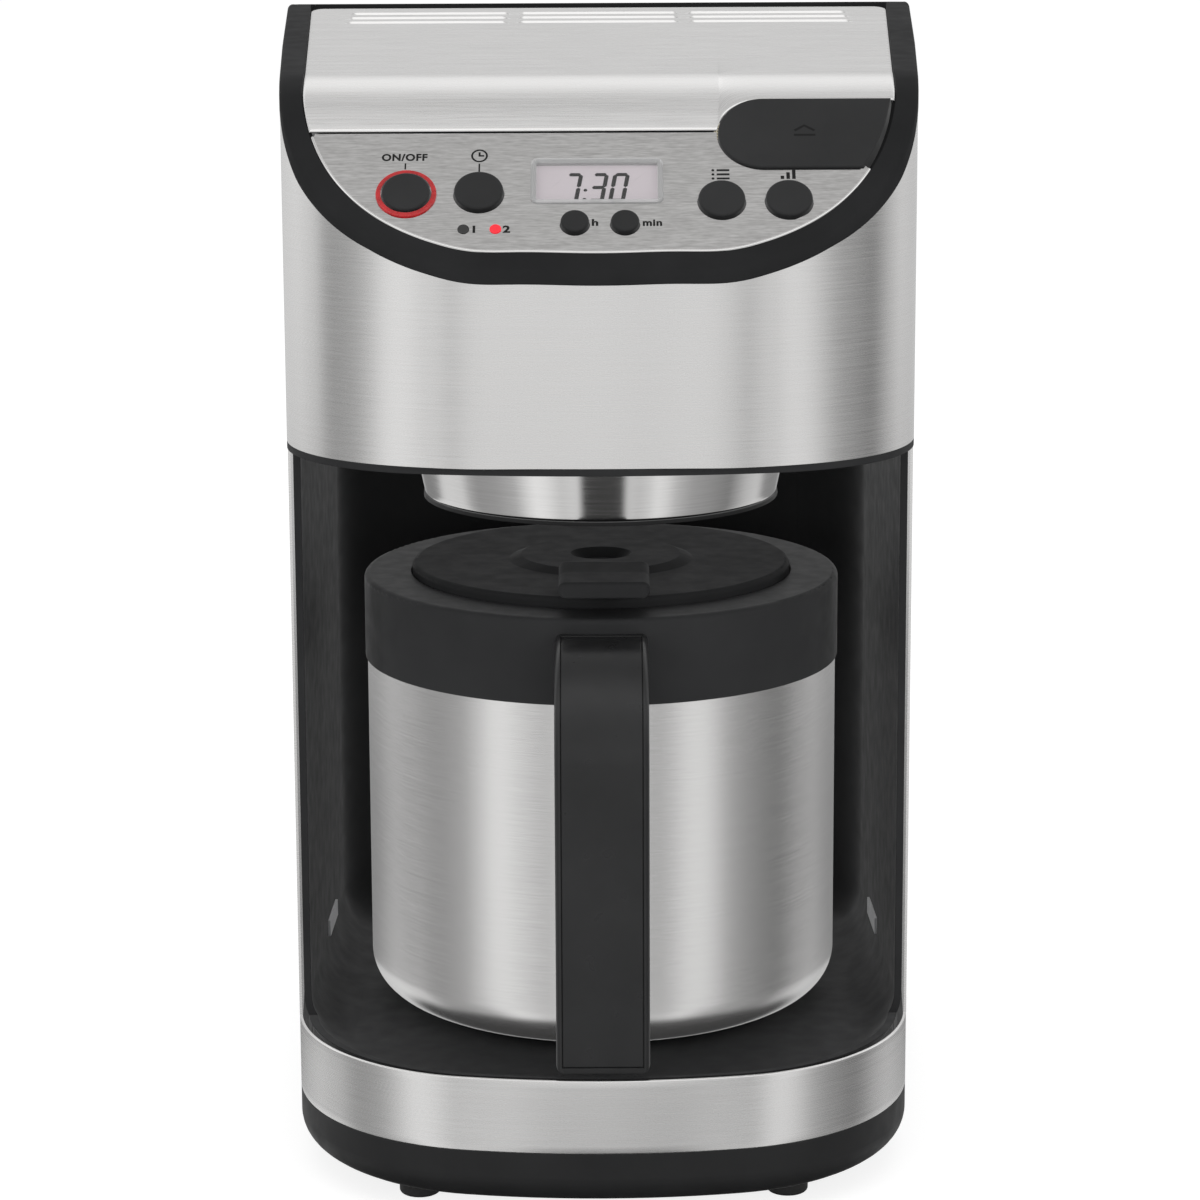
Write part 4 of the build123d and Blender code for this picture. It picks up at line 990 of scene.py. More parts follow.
@dataclass
class Bezel:
    """Black frame carried round the bent top, between the steel sheet and the lid."""

    machine: Machine
    proud_v: Pair = (50.0, 140.0)
    prouds: Pair = (0.1, 0.75)
    rise_v: Pair = (0.0, 160.0)
    rises: Pair = (0.3, 1.0)
    edge_r: float = 1.6
    lip_r: float = 0.4
    seat: float = 1.4
    depth: float = 9.0
    under: float = 0.8
    rail_v: float = 219.0
    rail_corner: float = 2.2
    round_rows: int = 7
    flat_rows: int = 10

    def section(self, rise: Array, joint: Array) -> tuple[list[float], list[float], list[Array]]:
        """Section from under the outer edge, over the top and down the inside.

        The outer edge and the lip are quarter rounds, with a flat top between them and a seat for the
        lid and the panel below the lip.

        Args:
            rise: Height of the top over the crown at each point of the outline.
            joint: Depth of the lower edge under the crown at each point.

        Returns:
            Distance in from the outer ring, share of the way to the inner ring, and height of each row.
        """
        turn = np.radians(np.linspace(0.0, 90.0, self.round_rows))
        inward = [self.under, 0.0, *(self.edge_r * (1.0 - np.cos(turn)))]
        heights = [-joint, -joint, *(rise - self.edge_r * (1.0 - np.sin(angle)) for angle in turn)]
        steps = np.linspace(0.0, 1.0, self.flat_rows)[1:]
        shares = [0.0] * len(inward) + list(steps) + [1.0, 1.0]
        heights += [rise] * len(steps) + [rise - self.lip_r, np.full_like(rise, -self.seat)]
        return inward + [self.edge_r] * (len(steps) + 2), shares, heights

    def frame(self) -> Piece:
        """Closed section carried round the head's outline, with a wide rail at the rear.

        Returns:
            The new object.
        """
        machine = self.machine
        plan = machine.head_plan(machine.rear_v)[0]
        proud = np.interp(plan[:, 1], self.proud_v, self.prouds)
        outer, normal = machine.ring(-proud, machine.rear_v, machine.rear_corner)
        inner = machine.ring(machine.lip(plan[:, 1]), self.rail_v, self.rail_corner)[0]
        ledge = machine.ring(machine.ledge, self.rail_v, self.rail_corner)[0]
        rise = np.interp(outer[:, 1], self.rise_v, self.rises)
        spots, lifts = [], []
        for inward, share, height in zip(*self.section(rise, machine.joint(outer[:, 1]))):
            start = outer - inward * normal
            spots.append(start + share * (inner - start))
            lifts.append(height)
        spots += [ledge, ledge]
        lifts += [np.full_like(rise, -self.seat), np.full_like(rise, -self.depth)]
        ground = np.stack(spots)
        height = machine.over_crown(ground[..., 1], np.stack(lifts))
        return lay_grid("bezel_frame", machine.stand(ground, height), True, True)

    def build(self) -> None:
        """Make the frame and put it in place of its node."""
        dress(self.frame(), BEZEL_BLACK, "machine", "black_plastic", "top_bezel")


@dataclass
class Lid:
    """Brushed lid plate, bent from the slope to the top, with pressed louvres."""

    machine: Machine
    rear_v: float = 215.0
    flat_v: float = 100.0
    thick: float = 0.65
    edge: float = 1.1
    edge_drop: float = 0.5
    louvre_rows: tuple[float, ...] = (179.7, 190.2, 200.7)
    louvre_groups: tuple[float, ...] = (-57.5, 0.0, 57.5)
    louvre_half: float = 27.2
    louvre_face: float = 0.5
    louvre_len: float = 2.2
    louvre_rise: float = 0.7
    louvre_end: float = 1.3
    louvre_step: float = 0.15
    louvre_lead: float = 6.0
    slot: float = 1.5
    slot_cols: int = 12
    corner: float = 6.0
    rounds: int = 12

    def front_edge(self, share: Array) -> Array:
        """Depth of the front edge at each share of the half width.

        The edge is the seam line, or the outline of the lid button where that reaches further up.
        The place across depends on the depth, so both are worked out in a few rounds.

        Args:
            share: Places across as shares of the half width, from -1 to 1.

        Returns:
            Depth from the front.
        """
        machine = self.machine
        sine, cosine = machine.slope_way
        seam = machine.seam_s + 0.5 * machine.seam_gap
        r = machine.open_r + machine.play
        bend_start = machine.bend_s - machine.bend_r * math.tan(
            math.radians(0.5 * (machine.slope_deg - machine.lid_deg)))
        v = np.full(share.shape, machine.slope_foot[0] + seam * cosine)
        for _ in range(self.rounds):
            x = share * machine.half_width(v)
            left = np.minimum(x - machine.open_x, 0.0)
            pill = machine.open_s + np.sqrt(np.maximum(r**2 - left**2, 0.0))
            s = np.maximum(np.where(left > -r, pill, seam), seam)
            sag = np.maximum(s - bend_start, 0.0) ** 2 / (2.0 * machine.bend_r)
            v = machine.slope_foot[0] + s * cosine + sag * sine
        return v

    def louvre_height(self, x: Array, v: Array) -> Array:
        """Height of the louvres: a steep front, a flat top and a sharp step, with short sloped ends.

        Args:
            x: Places across.
            v: Depths from the front.

        Returns:
            Height at each place.
        """
        total = np.zeros(x.shape)
        for row in self.louvre_rows:
            front = row - self.louvre_len
            lines = (front, front + self.louvre_face, row, row + self.louvre_step)
            section = np.interp(v, lines, (0.0, self.louvre_rise, self.louvre_rise, 0.0))
            for middle in self.louvre_groups:
                reach = (self.louvre_half - self.louvre_end, self.louvre_half)
                total += section * np.interp(np.abs(x - middle), reach, (1.0, 0.0))
        return total

    def depths(self, first: Array) -> Array:
        """Rows of depths: close behind the front edge, even over the bend and close at each louvre.

        Args:
            first: Depth of the front edge at each place across.

        Returns:
            Rows of depths from the front.
        """
        lip = np.array([0.0, 0.1, 0.25, 0.45, 0.7, 1.0]) * self.edge * self.machine.slope_way[1]
        bend = np.linspace(0.0, 1.0, 44)[1:, None]
        start = first + lip[-1]
        flat = [np.linspace(self.flat_v, self.louvre_rows[0] - self.louvre_lead, 14)[1:]]
        for row in self.louvre_rows:
            front = row - self.louvre_len
            face = front + self.louvre_face * np.array([-0.4, 0.0, 0.33, 0.67, 1.0, 1.4])
            flat += [face, row + np.array([-0.6, 0.0, self.louvre_step, 0.5, 2.5, 5.5])]
        flat.append(self.rear_v - self.corner * np.array([1.0, 0.8, 0.6, 0.4, 0.25, 0.14, 0.07, 0.02, 0.0]))
        rear = np.concatenate(flat)[:, None]
        return np.concatenate([first + lip[:, None], start + bend * (self.flat_v - start),
                               np.broadcast_to(rear, (len(rear), len(first)))])

    def plate(self) -> Piece:
        """Plate on the crown, rounded down at its front edge and raised at the louvres.

        Returns:
            The new object.
        """
        machine = self.machine
        rim = 1.0 - np.array([0.0, 0.002, 0.004, 0.007, 0.012])
        share = np.union1d(np.linspace(-1.0, 1.0, 190), np.linspace(0.40, 0.60, 61))
        share = np.union1d(share, np.concatenate([-rim, rim]))
        first = self.front_edge(share)
        v = self.depths(first)
        past = np.clip(v - self.rear_v + self.corner, 0.0, self.corner)
        half = machine.half_width(v) - self.corner + np.sqrt(self.corner**2 - past**2)
        x = share * half
        z = machine.crown(v, 0.0)
        rise = machine.rise(v)
        size = np.hypot(1.0, rise)
        from_front = (v - first) / machine.slope_way[1]
        from_edge = np.minimum(np.minimum(from_front, half - np.abs(x)), self.rear_v - v)
        near = np.clip(1.0 - from_edge / self.edge, 0.0, 1.0)
        out = self.louvre_height(x, v) - self.edge_drop * (1.0 - np.sqrt(1.0 - near**2))
        points = pack(x, machine.front + v - out * rise / size, z + out / size)
        brush = pack(x, run_length(pack(v[:, 0], z[:, 0]))[:, None])
        return thicken(lay_grid("lid_plate", points, uv=brush), self.thick)

    def slots(self) -> Piece:
        """Painted shade of the openings behind the louvres: dark strips that follow the crown.

        Returns:
            The new object.
        """
        reach = (self.louvre_half - self.louvre_end) * np.linspace(-1.0, 1.0, self.slot_cols)
        depths = np.array([[self.louvre_step + 0.01], [self.slot]])
        spots = np.stack([pack(middle + reach, row + depths)
                          for row in self.louvre_rows for middle in self.louvre_groups])
        strip = grid_faces(2, self.slot_cols, False, False)
        faces = np.concatenate([strip + 2 * self.slot_cols * index for index in range(len(spots))])
        height = self.machine.crown(spots[..., 1], 0.05)
        return lay("louvre_slot_shade", self.machine.stand(spots, height), faces)

    def build(self) -> None:
        """Make the plate, and the painted shade of its slots, in place of the node."""
        dress(self.plate(), LID_STEEL, "lid", "brushed_steel", "lid_skin")
        dress(self.slots(), SLOT_PAINTED_SHADE, "lid", "dark_gloss")


@dataclass
class Panel:
    """Margin and bright edge of the control panel, and the clear rim and pane of the display."""

    machine: Machine
    bead: float = 0.35
    margin_in: float = 8.6
    margin_d: float = 0.012
    lcd_x: float = -0.7
    lcd_s: float = 38.4
    lcd_w: float = 39.2
    lcd_h: float = 17.4
    lcd_corner: float = 2.2
    rim: float = 1.7
    rim_top: float = 0.9
    pane_d: float = 0.1

    def lower_edge(self) -> Lines:
        """Edge of the panel inside the bezel, below the seam and the lid button, and its normals.

        Returns:
            Points (x, v) and outward normals, one row each.
        """
        machine = self.machine
        line, normal = machine.inner_line(machine.play)
        up = machine.up_slope(line[:, 1])
        right_end = machine.open_s - machine.open_r - machine.play
        left_end = machine.seam_s - 0.5 * machine.seam_gap
        kept = up < np.where(line[:, 0] > 0.0, right_end, left_end)
        return line[kept], normal[kept]

    def strip(self, name: str, spots: Array, lift: Array | float) -> Piece:
        """Sheet on the slope through rows of (x, v) spots at their own lifts.

        Args:
            name: Name of the piece.
            spots: Grid of (x, v) spots.
            lift: Height out of the slope at each spot.

        Returns:
            The new object.
        """
        points = self.machine.on_slope(spots[..., 0], self.machine.up_slope(spots[..., 1]), lift)
        brush = pack(run_length(spots[0]), np.arange(len(spots), dtype=float)[:, None])
        return lay_grid(name, points, uv=brush)

    def edge(self) -> Piece:
        """Half-round bead carried along the panel's curved lower edge.

        Returns:
            The new object.
        """
        line, normal = self.lower_edge()
        turn = np.linspace(0.0, np.pi, 7)[:, None]
        spots = line - normal * (self.bead * (1.0 - np.cos(turn)))[..., None]
        return self.strip("panel_edge", spots, self.bead * np.sin(turn))

    def margin(self) -> Piece:
        """Flat strip that carries the panel's face out to the bezel.

        Returns:
            The new object.
        """
        machine = self.machine
        line, normal = self.lower_edge()
        plan = line + normal * (machine.lip(line[:, 1]) + machine.play)[:, None]
        plan[:, 1] += machine.flat_amount(plan[:, 0])
        share = np.linspace(0.0, 1.0, 4)[:, None, None]
        spots = line + share * (plan - normal * self.margin_in - line)
        return self.strip("panel_margin", spots, self.margin_d)

    def outline(self, inward: Array, fine: int = 9) -> Array:
        """Rounded rectangle of the display for each distance inward: rows of (x, s) points.

        Four corner arcs whose centres stay put while their radius shrinks, then the corners square off.

        Args:
            inward: Distances inward from the outer edge.
            fine: Number of points on each corner arc.

        Returns:
            Array of one closed row for each distance, counter-clockwise.
        """
        r = np.maximum(self.lcd_corner - inward, 0.3)[:, None]
        half_w = 0.5 * self.lcd_w - inward[:, None]
        half_h = 0.5 * self.lcd_h - inward[:, None]
        angle = np.linspace(0.0, 0.5 * np.pi, fine)[None, :]
        rows_x, rows_s = [], []
        for turn, sign_x, sign_s in ((0.0, 1, 1), (0.5, -1, 1), (1.0, -1, -1), (1.5, 1, -1)):
            rows_x.append(sign_x * (half_w - r) + r * np.cos(angle + turn * np.pi))
            rows_s.append(sign_s * (half_h - r) + r * np.sin(angle + turn * np.pi))
        return pack(self.lcd_x + np.concatenate(rows_x, axis=1), self.lcd_s + np.concatenate(rows_s, axis=1))

    def display_rim(self) -> Piece:
        """Clear rim: a bevelled section carried round the display's outline.

        Returns:
            The new object.
        """
        top, rim = self.rim_top, self.rim
        section = np.array([[0.0, -0.2], [0.0, 0.25], [0.12, 0.55], [0.35, 0.8], [0.65, top], [0.95, top],
                            [1.2, 0.75], [rim, self.pane_d], [rim, -1.1]])
        rows = self.outline(section[:, 0])
        points = self.machine.on_slope(rows[..., 0], rows[..., 1], section[:, 1:])
        return lay_grid("display_rim", points, round_cols=True)

    def pane(self) -> Piece:
        """Flat clear pane inside the rim, as rows that shrink towards its long middle.

        Returns:
            The new object.
        """
        rows = self.outline(np.array([self.rim, 0.25 * self.lcd_h, 0.499 * self.lcd_h]))
        points = self.machine.on_slope(rows[..., 0], rows[..., 1], self.pane_d - 0.05)
        return lay_grid("display_pane", points, round_cols=True)

    def build(self) -> None:
        """Make the margin, its edge and the display's window."""
        dress(self.margin(), PANEL_STEEL, "machine", "brushed_steel")
        dress(self.edge(), POLISHED_STEEL, "machine", "brushed_steel")
        dress(self.display_rim(), RIM_CLEAR, "machine", "window", "lcd_glass")
        dress(self.pane(), PANE, "machine", "window")


@dataclass
class Base:
    """Steel band round the base."""

    machine: Machine
    low_z: float = 22.8
    high_z: float = 46.1
    edge_r: float = 0.35

    def band(self) -> Piece:
        """Outline of the band's section carried round the plan of the base.

        Returns:
            The new object.
        """
        machine = self.machine
        plan, normal = machine.plan(machine.base_front_r, machine.base_corner_r, machine.split_v)
        low, high, thick, r = self.low_z, self.high_z, machine.sheet, self.edge_r
        outline = np.concatenate([
            pack(0.0, np.linspace(low + r, high - r, 12)),
            arc((-r, high - r), r, 0.0, 90.0, 6)[1:],
            np.array([[-thick, high], [-thick, low]]),
            arc((-r, low + r), r, 270.0, 360.0, 6)[:-1],
        ])
        out, height = outline[:, :1], outline[:, 1:]
        points = machine.stand(plan + out[..., None] * normal, height)
        return lay_grid("steel_band", points, round_rows=True, uv=pack(run_length(plan), height))

    def build(self) -> None:
        """Make the band and put it in place of its node."""
        dress(self.band(), SHEET_STEEL, "machine", "brushed_steel", "base_band")


@dataclass
class BrewHead:
    """Polished shroud under the head."""

    machine: Machine
    rim_r: float = 57.2
    rim_z: float = 207.0
    top_r: float = 62.78
    top_z: float = 234.9
    flange: float = 4.7
    flange_t: float = 1.0
    wall: float = 1.2
    roll: float = 1.1
    curl: float = 5.0
    curl_t: float = 0.8
    inner_rise: float = 2.0

    def shroud(self) -> Piece:
        """Cone with a rolled rim, turned about the carafe's axis.

        Returns:
            The new object.
        """
        lean = math.degrees(math.atan2(self.top_r - self.rim_r, self.top_z - self.rim_z))
        centre = (self.rim_r - self.roll, self.rim_z + self.roll)
        slope = np.linspace(0.0, 1.0, 20)[:, None]
        roll = arc(centre, self.roll, -90.0, -lean, 8)
        top = np.array([self.top_r, self.top_z])
        cone = roll[-1] + slope * (top - roll[-1])
        at_top = np.array([[self.flange, 0.0], [self.flange, self.flange_t], [-self.wall, self.flange_t]])
        at_rim = np.array([[-self.wall, self.inner_rise], [-self.curl, self.curl_t], [-self.curl, 0.0]])
        inner = np.concatenate([top + at_top, (self.rim_r, self.rim_z) + at_rim])
        return turned("shroud_cone", np.concatenate([roll, cone[1:], inner]), self.machine)

    def build(self) -> None:
        """Make the shroud and put it in place of its node."""
        dress(self.shroud(), POLISHED_STEEL, "machine", "brushed_steel", "basket_shroud")


@dataclass
class Carafe:
    """Steel body of the carafe."""

    machine: Machine
    shell_r: float = 76.6
    wall: float = 1.0
    corner: float = 13.0
    hole_r: float = 30.0
    low_z: float = 41.0
    top_z: float = 153.5

    def body(self) -> Piece:
        """Cylinder with a rounded foot, turned about its axis.

        Returns:
            The new object.
        """
        r, t, c = self.shell_r, self.wall, self.corner
        foot = arc((r - c, self.low_z + c), c, -90.0, 0.0, 20)
        side = pack(r, np.linspace(self.low_z + c, self.top_z, 24))
        inner_side = np.array([[r - t, self.top_z], [r - t, self.low_z + c]])
        inner_foot = arc((r - c, self.low_z + c), c - t, 0.0, -90.0, 12)
        hole = np.array([[self.hole_r, self.low_z], [self.hole_r, self.low_z + t]])
        outline = np.concatenate([hole[:1], foot, side[1:], inner_side, inner_foot[1:], hole[1:]])
        return turned("carafe_body", outline, self.machine, 224)

    def build(self) -> None:
        """Make the body and put it in place of its node."""
        dress(self.body(), CARAFE_STEEL, "carafe", "brushed_steel", "carafe_shell")


@dataclass
class Marks:
    """Generic marks printed on the panel and the lid button, and the digits of the display.

    Capital is the height of a capital letter as a share of the font's size, and swell the share of
    that height by which its strokes grow. Segment and gap are shares of a digit's height, and tip is
    a share of its segment's width.
    """

    machine: Machine
    print_d: float = 0.03
    digit_d: float = -1.15
    open_d: float = 0.93
    stroke: float = 0.6
    tick: float = 0.8
    capital: float = 0.69
    swell: float = 0.06
    spacing: float = 1.1
    lean: float = math.tan(math.radians(9.0))
    segment: float = 0.125
    gap: float = 0.006
    tip: float = 0.35

    def bar(self, name: str, x: Sequence[float], s: Sequence[float], width: float, d: float) -> Piece:
        """Flat stroke of even width along a line of points on the slope.

        Args:
            name: Name of the piece.
            x: Places across.
            s: Places up the slope.
            width: Width of the stroke.
            d: Height out of the slope.

        Returns:
            The new object.
        """
        line = pack(np.asarray(x, dtype=float), np.asarray(s, dtype=float))
        along = np.gradient(line, axis=0)
        along /= np.linalg.norm(along, axis=1)[:, None]
        across = pack(-along[:, 1], along[:, 0])
        sides = np.stack([line + 0.5 * width * across, line - 0.5 * width * across])
        points = self.machine.on_slope(sides[..., 0], sides[..., 1], d)
        return lay(name, points, grid_faces(2, len(line), False, False)[:, ::-1])

    def word(self, name: str, text: str, x: float, s: float, size: float, stretch: float) -> Piece:
        """Lettering as a flat mesh, centred on a place of the slope.

        Args:
            name: Name of the piece.
            text: Letters to set.
            x: Place across of the middle.
            s: Place up the slope of the middle.
            size: Height of a capital letter.
            stretch: Width of the letters as a share of the font's own.

        Returns:
            The new object.
        """
        curve = bpy.data.curves.new(name, "FONT")
        curve.body = text
        curve.size = size / self.capital
        curve.offset = self.swell * size
        curve.space_character = self.spacing
        curve.align_x = "CENTER"
        curve.resolution_u = 6
        holder = put_in(name + "_outline", curve)
        graph = bpy.context.evaluated_depsgraph_get()
        flat = bpy.data.meshes.new_from_object(holder.evaluated_get(graph))
        bpy.data.objects.remove(holder)
        spots = np.empty(3 * len(flat.vertices))
        flat.vertices.foreach_get("co", spots)
        spots = spots.reshape(-1, 3)
        middle = 0.5 * (spots[:, :2].min(axis=0) + spots[:, :2].max(axis=0))
        across, up = x + (spots[:, 0] - middle[0]) * stretch, s + spots[:, 1] - middle[1]
        flat.vertices.foreach_set("co", (self.machine.on_slope(across, up, self.print_d) * MM).ravel())
        flat.name = name
        return put_in(name, flat)

    def segments(self, name: str, digit: str, x: float, s: float, tall: float, wide: float) -> Piece:
        """Leaning seven-segment digit: each bar is a six-sided strip on a half-height square.

        Args:
            name: Name of the piece.
            digit: Digit to show.
            x: Place across of its left.
            s: Place up the slope of its foot.
            tall: Height between the bars' middles.
            wide: Width between the bars' middles.

        Returns:
            The new object.
        """
        lit = {"0": "abcdef", "3": "abcdg", "7": "abc"}[digit]
        half = 0.5 * tall
        ends = {
            "a": ((0, tall), (wide, tall)), "b": ((wide, half), (wide, tall)), "c": ((wide, 0), (wide, half)),
            "d": ((0, 0), (wide, 0)), "e": ((0, 0), (0, half)), "f": ((0, half), (0, tall)),
            "g": ((0, half), (wide, half)),
        }
        thick, gap = self.segment * tall, self.gap * tall
        start = np.array([ends[key][0] for key in lit], dtype=float)
        end = np.array([ends[key][1] for key in lit], dtype=float)
        along = (end - start) / np.linalg.norm(end - start, axis=1)[:, None]
        across = pack(-along[:, 1], along[:, 0])
        tip = gap + self.tip * thick
        reach = np.array([[gap, 0.0], [tip, -0.5], [-tip, -0.5], [-gap, 0.0], [-tip, 0.5], [tip, 0.5]])
        from_end = np.array([False, False, True, True, True, False])
        anchor = np.where(from_end[None, :, None], end[:, None, :], start[:, None, :])
        spots = anchor + reach[:, :1] * along[:, None, :] + thick * reach[:, 1:] * across[:, None, :]
        across = x + spots[..., 0] + self.lean * spots[..., 1]
        points = self.machine.on_slope(across, s + spots[..., 1], self.digit_d)
        return lay(name, points, np.arange(6 * len(lit)).reshape(-1, 6))

    def disc(self, name: str, x: float, s: float, r: float, d: float) -> Piece:
        """Flat round dot, as rings that shrink to its middle.

        Args:
            name: Name of the piece.
            x: Place across.
            s: Place up the slope.
            r: Radius.
            d: Height out of the slope.

        Returns:
            The new object.
        """
        angle = np.linspace(0.0, 2.0 * np.pi, 20, endpoint=False)
        rings = np.array([1.0, 0.6, 0.02])[:, None] * r
        points = self.machine.on_slope(x + rings * np.cos(angle), s + rings * np.sin(angle), d)
        return lay_grid(name, points, round_cols=True)

    def print_on(self, piece: Piece, finish: Finish = INK, slot: str = "dark_gloss",
                 body: str = "machine") -> None:
        """Dress a mark and let it ride with what it is printed on."""
        dress(piece, finish, body, slot)

    def labels(self) -> None:
        """Switch wording, lamp numbers, clock units and the ticks that lead to the buttons."""
        for name, text, x, s, size, stretch in (
            ("mark_on_off", "ON/OFF", -57.7, 47.9, 2.5, 0.96),
            ("mark_hour", "h", -1.3, 22.6, 2.4, 1.2),
            ("mark_minute", "min", 15.5, 22.4, 2.4, 1.05),
            ("mark_one", "1", -36.7, 20.2, 2.5, 1.2),
            ("mark_two", "2", -27.2, 20.2, 2.5, 1.2),
        ):
            self.print_on(self.word(name, text, x, s, size, stretch))
        for name, x, low, high in (("power", -57.4, 43.2, 45.6), ("auto", -35.5, 41.8, 45.4),
                                   ("program", 36.0, 37.3, 38.1), ("strength", 55.8, 37.3, 38.1)):
            line = (np.full(4, x), np.linspace(low, high, 4))
            self.print_on(self.bar("tick_" + name, *line, self.tick * self.stroke, self.print_d))

    def icons(self) -> None:
        """Plain signs: a clock for the timer, rows for the programme, rising bars for the strength."""
        d, stroke = self.print_d, self.stroke
        x, s, r = -35.5, 48.4, 2.2
        face = arc((x, s), r, 0.0, 360.0, 49)
        self.print_on(self.bar("sign_clock", face[:, 0], face[:, 1], stroke, d))
        self.print_on(self.bar("sign_clock_hour", (x,) * 3, (s - 0.3, s + 0.6, s + 1.4), stroke, d))
        self.print_on(self.bar("sign_clock_minute", (x - 0.3, x + 0.5, x + 1.4), (s,) * 3, stroke, d))
        row_width, dot_r, bar_width = 0.75, 0.45, 1.05
        for row in range(3):
            s = 39.2 + 1.6 * row
            self.print_on(self.bar(f"sign_row_{row}", (34.7, 36.5, 38.5), (s,) * 3, row_width, d))
            self.print_on(self.disc(f"sign_dot_{row}", 33.6, s, dot_r, d))
            x = 54.1 + 1.7 * row
            tall = np.linspace(38.9, 40.2 + 1.3 * row, 3)
            self.print_on(self.bar(f"sign_bar_{row}", (x,) * 3, tall, bar_width, d))

    def open_sign(self) -> None:
        """Chevron over a bar on the lid button, printed black on black."""
        x, s, width = 61.2, 57.2, 0.8
        chevron = (x + np.array([-3.0, -1.5, 0.0, 1.5, 3.0]), s + np.array([-0.2, 0.8, 1.8, 0.8, -0.2]))
        under = ((x - 3.2, x, x + 3.2), (s - 1.9,) * 3)
        for name, line in (("sign_open_chevron", chevron), ("sign_open_bar", under)):
            self.print_on(self.bar(name, *line, width, self.open_d), SIGN_INK, body="opener")

    def clock(self) -> None:
        """Digits of the display, with two dots between hours and minutes."""
        tall, wide, low, dot_r = 9.9, 3.7, 32.0, 0.55
        for index, (digit, x) in enumerate((("7", -10.6), ("3", -3.0), ("0", 3.2))):
            piece = self.segments(f"digit_{index}", digit, x, low, tall, wide)
            self.print_on(piece, DIGIT_INK, "display")
        for index, (x, s) in enumerate(((-4.4, 32.4), (-4.1, 35.9))):
            dot = self.disc(f"digit_dot_{index}", x, s, dot_r, self.digit_d)
            self.print_on(dot, DIGIT_INK, "display")

    def build(self) -> None:
        """Print every mark."""
        self.labels()
        self.icons()
        self.open_sign()
        self.clock()


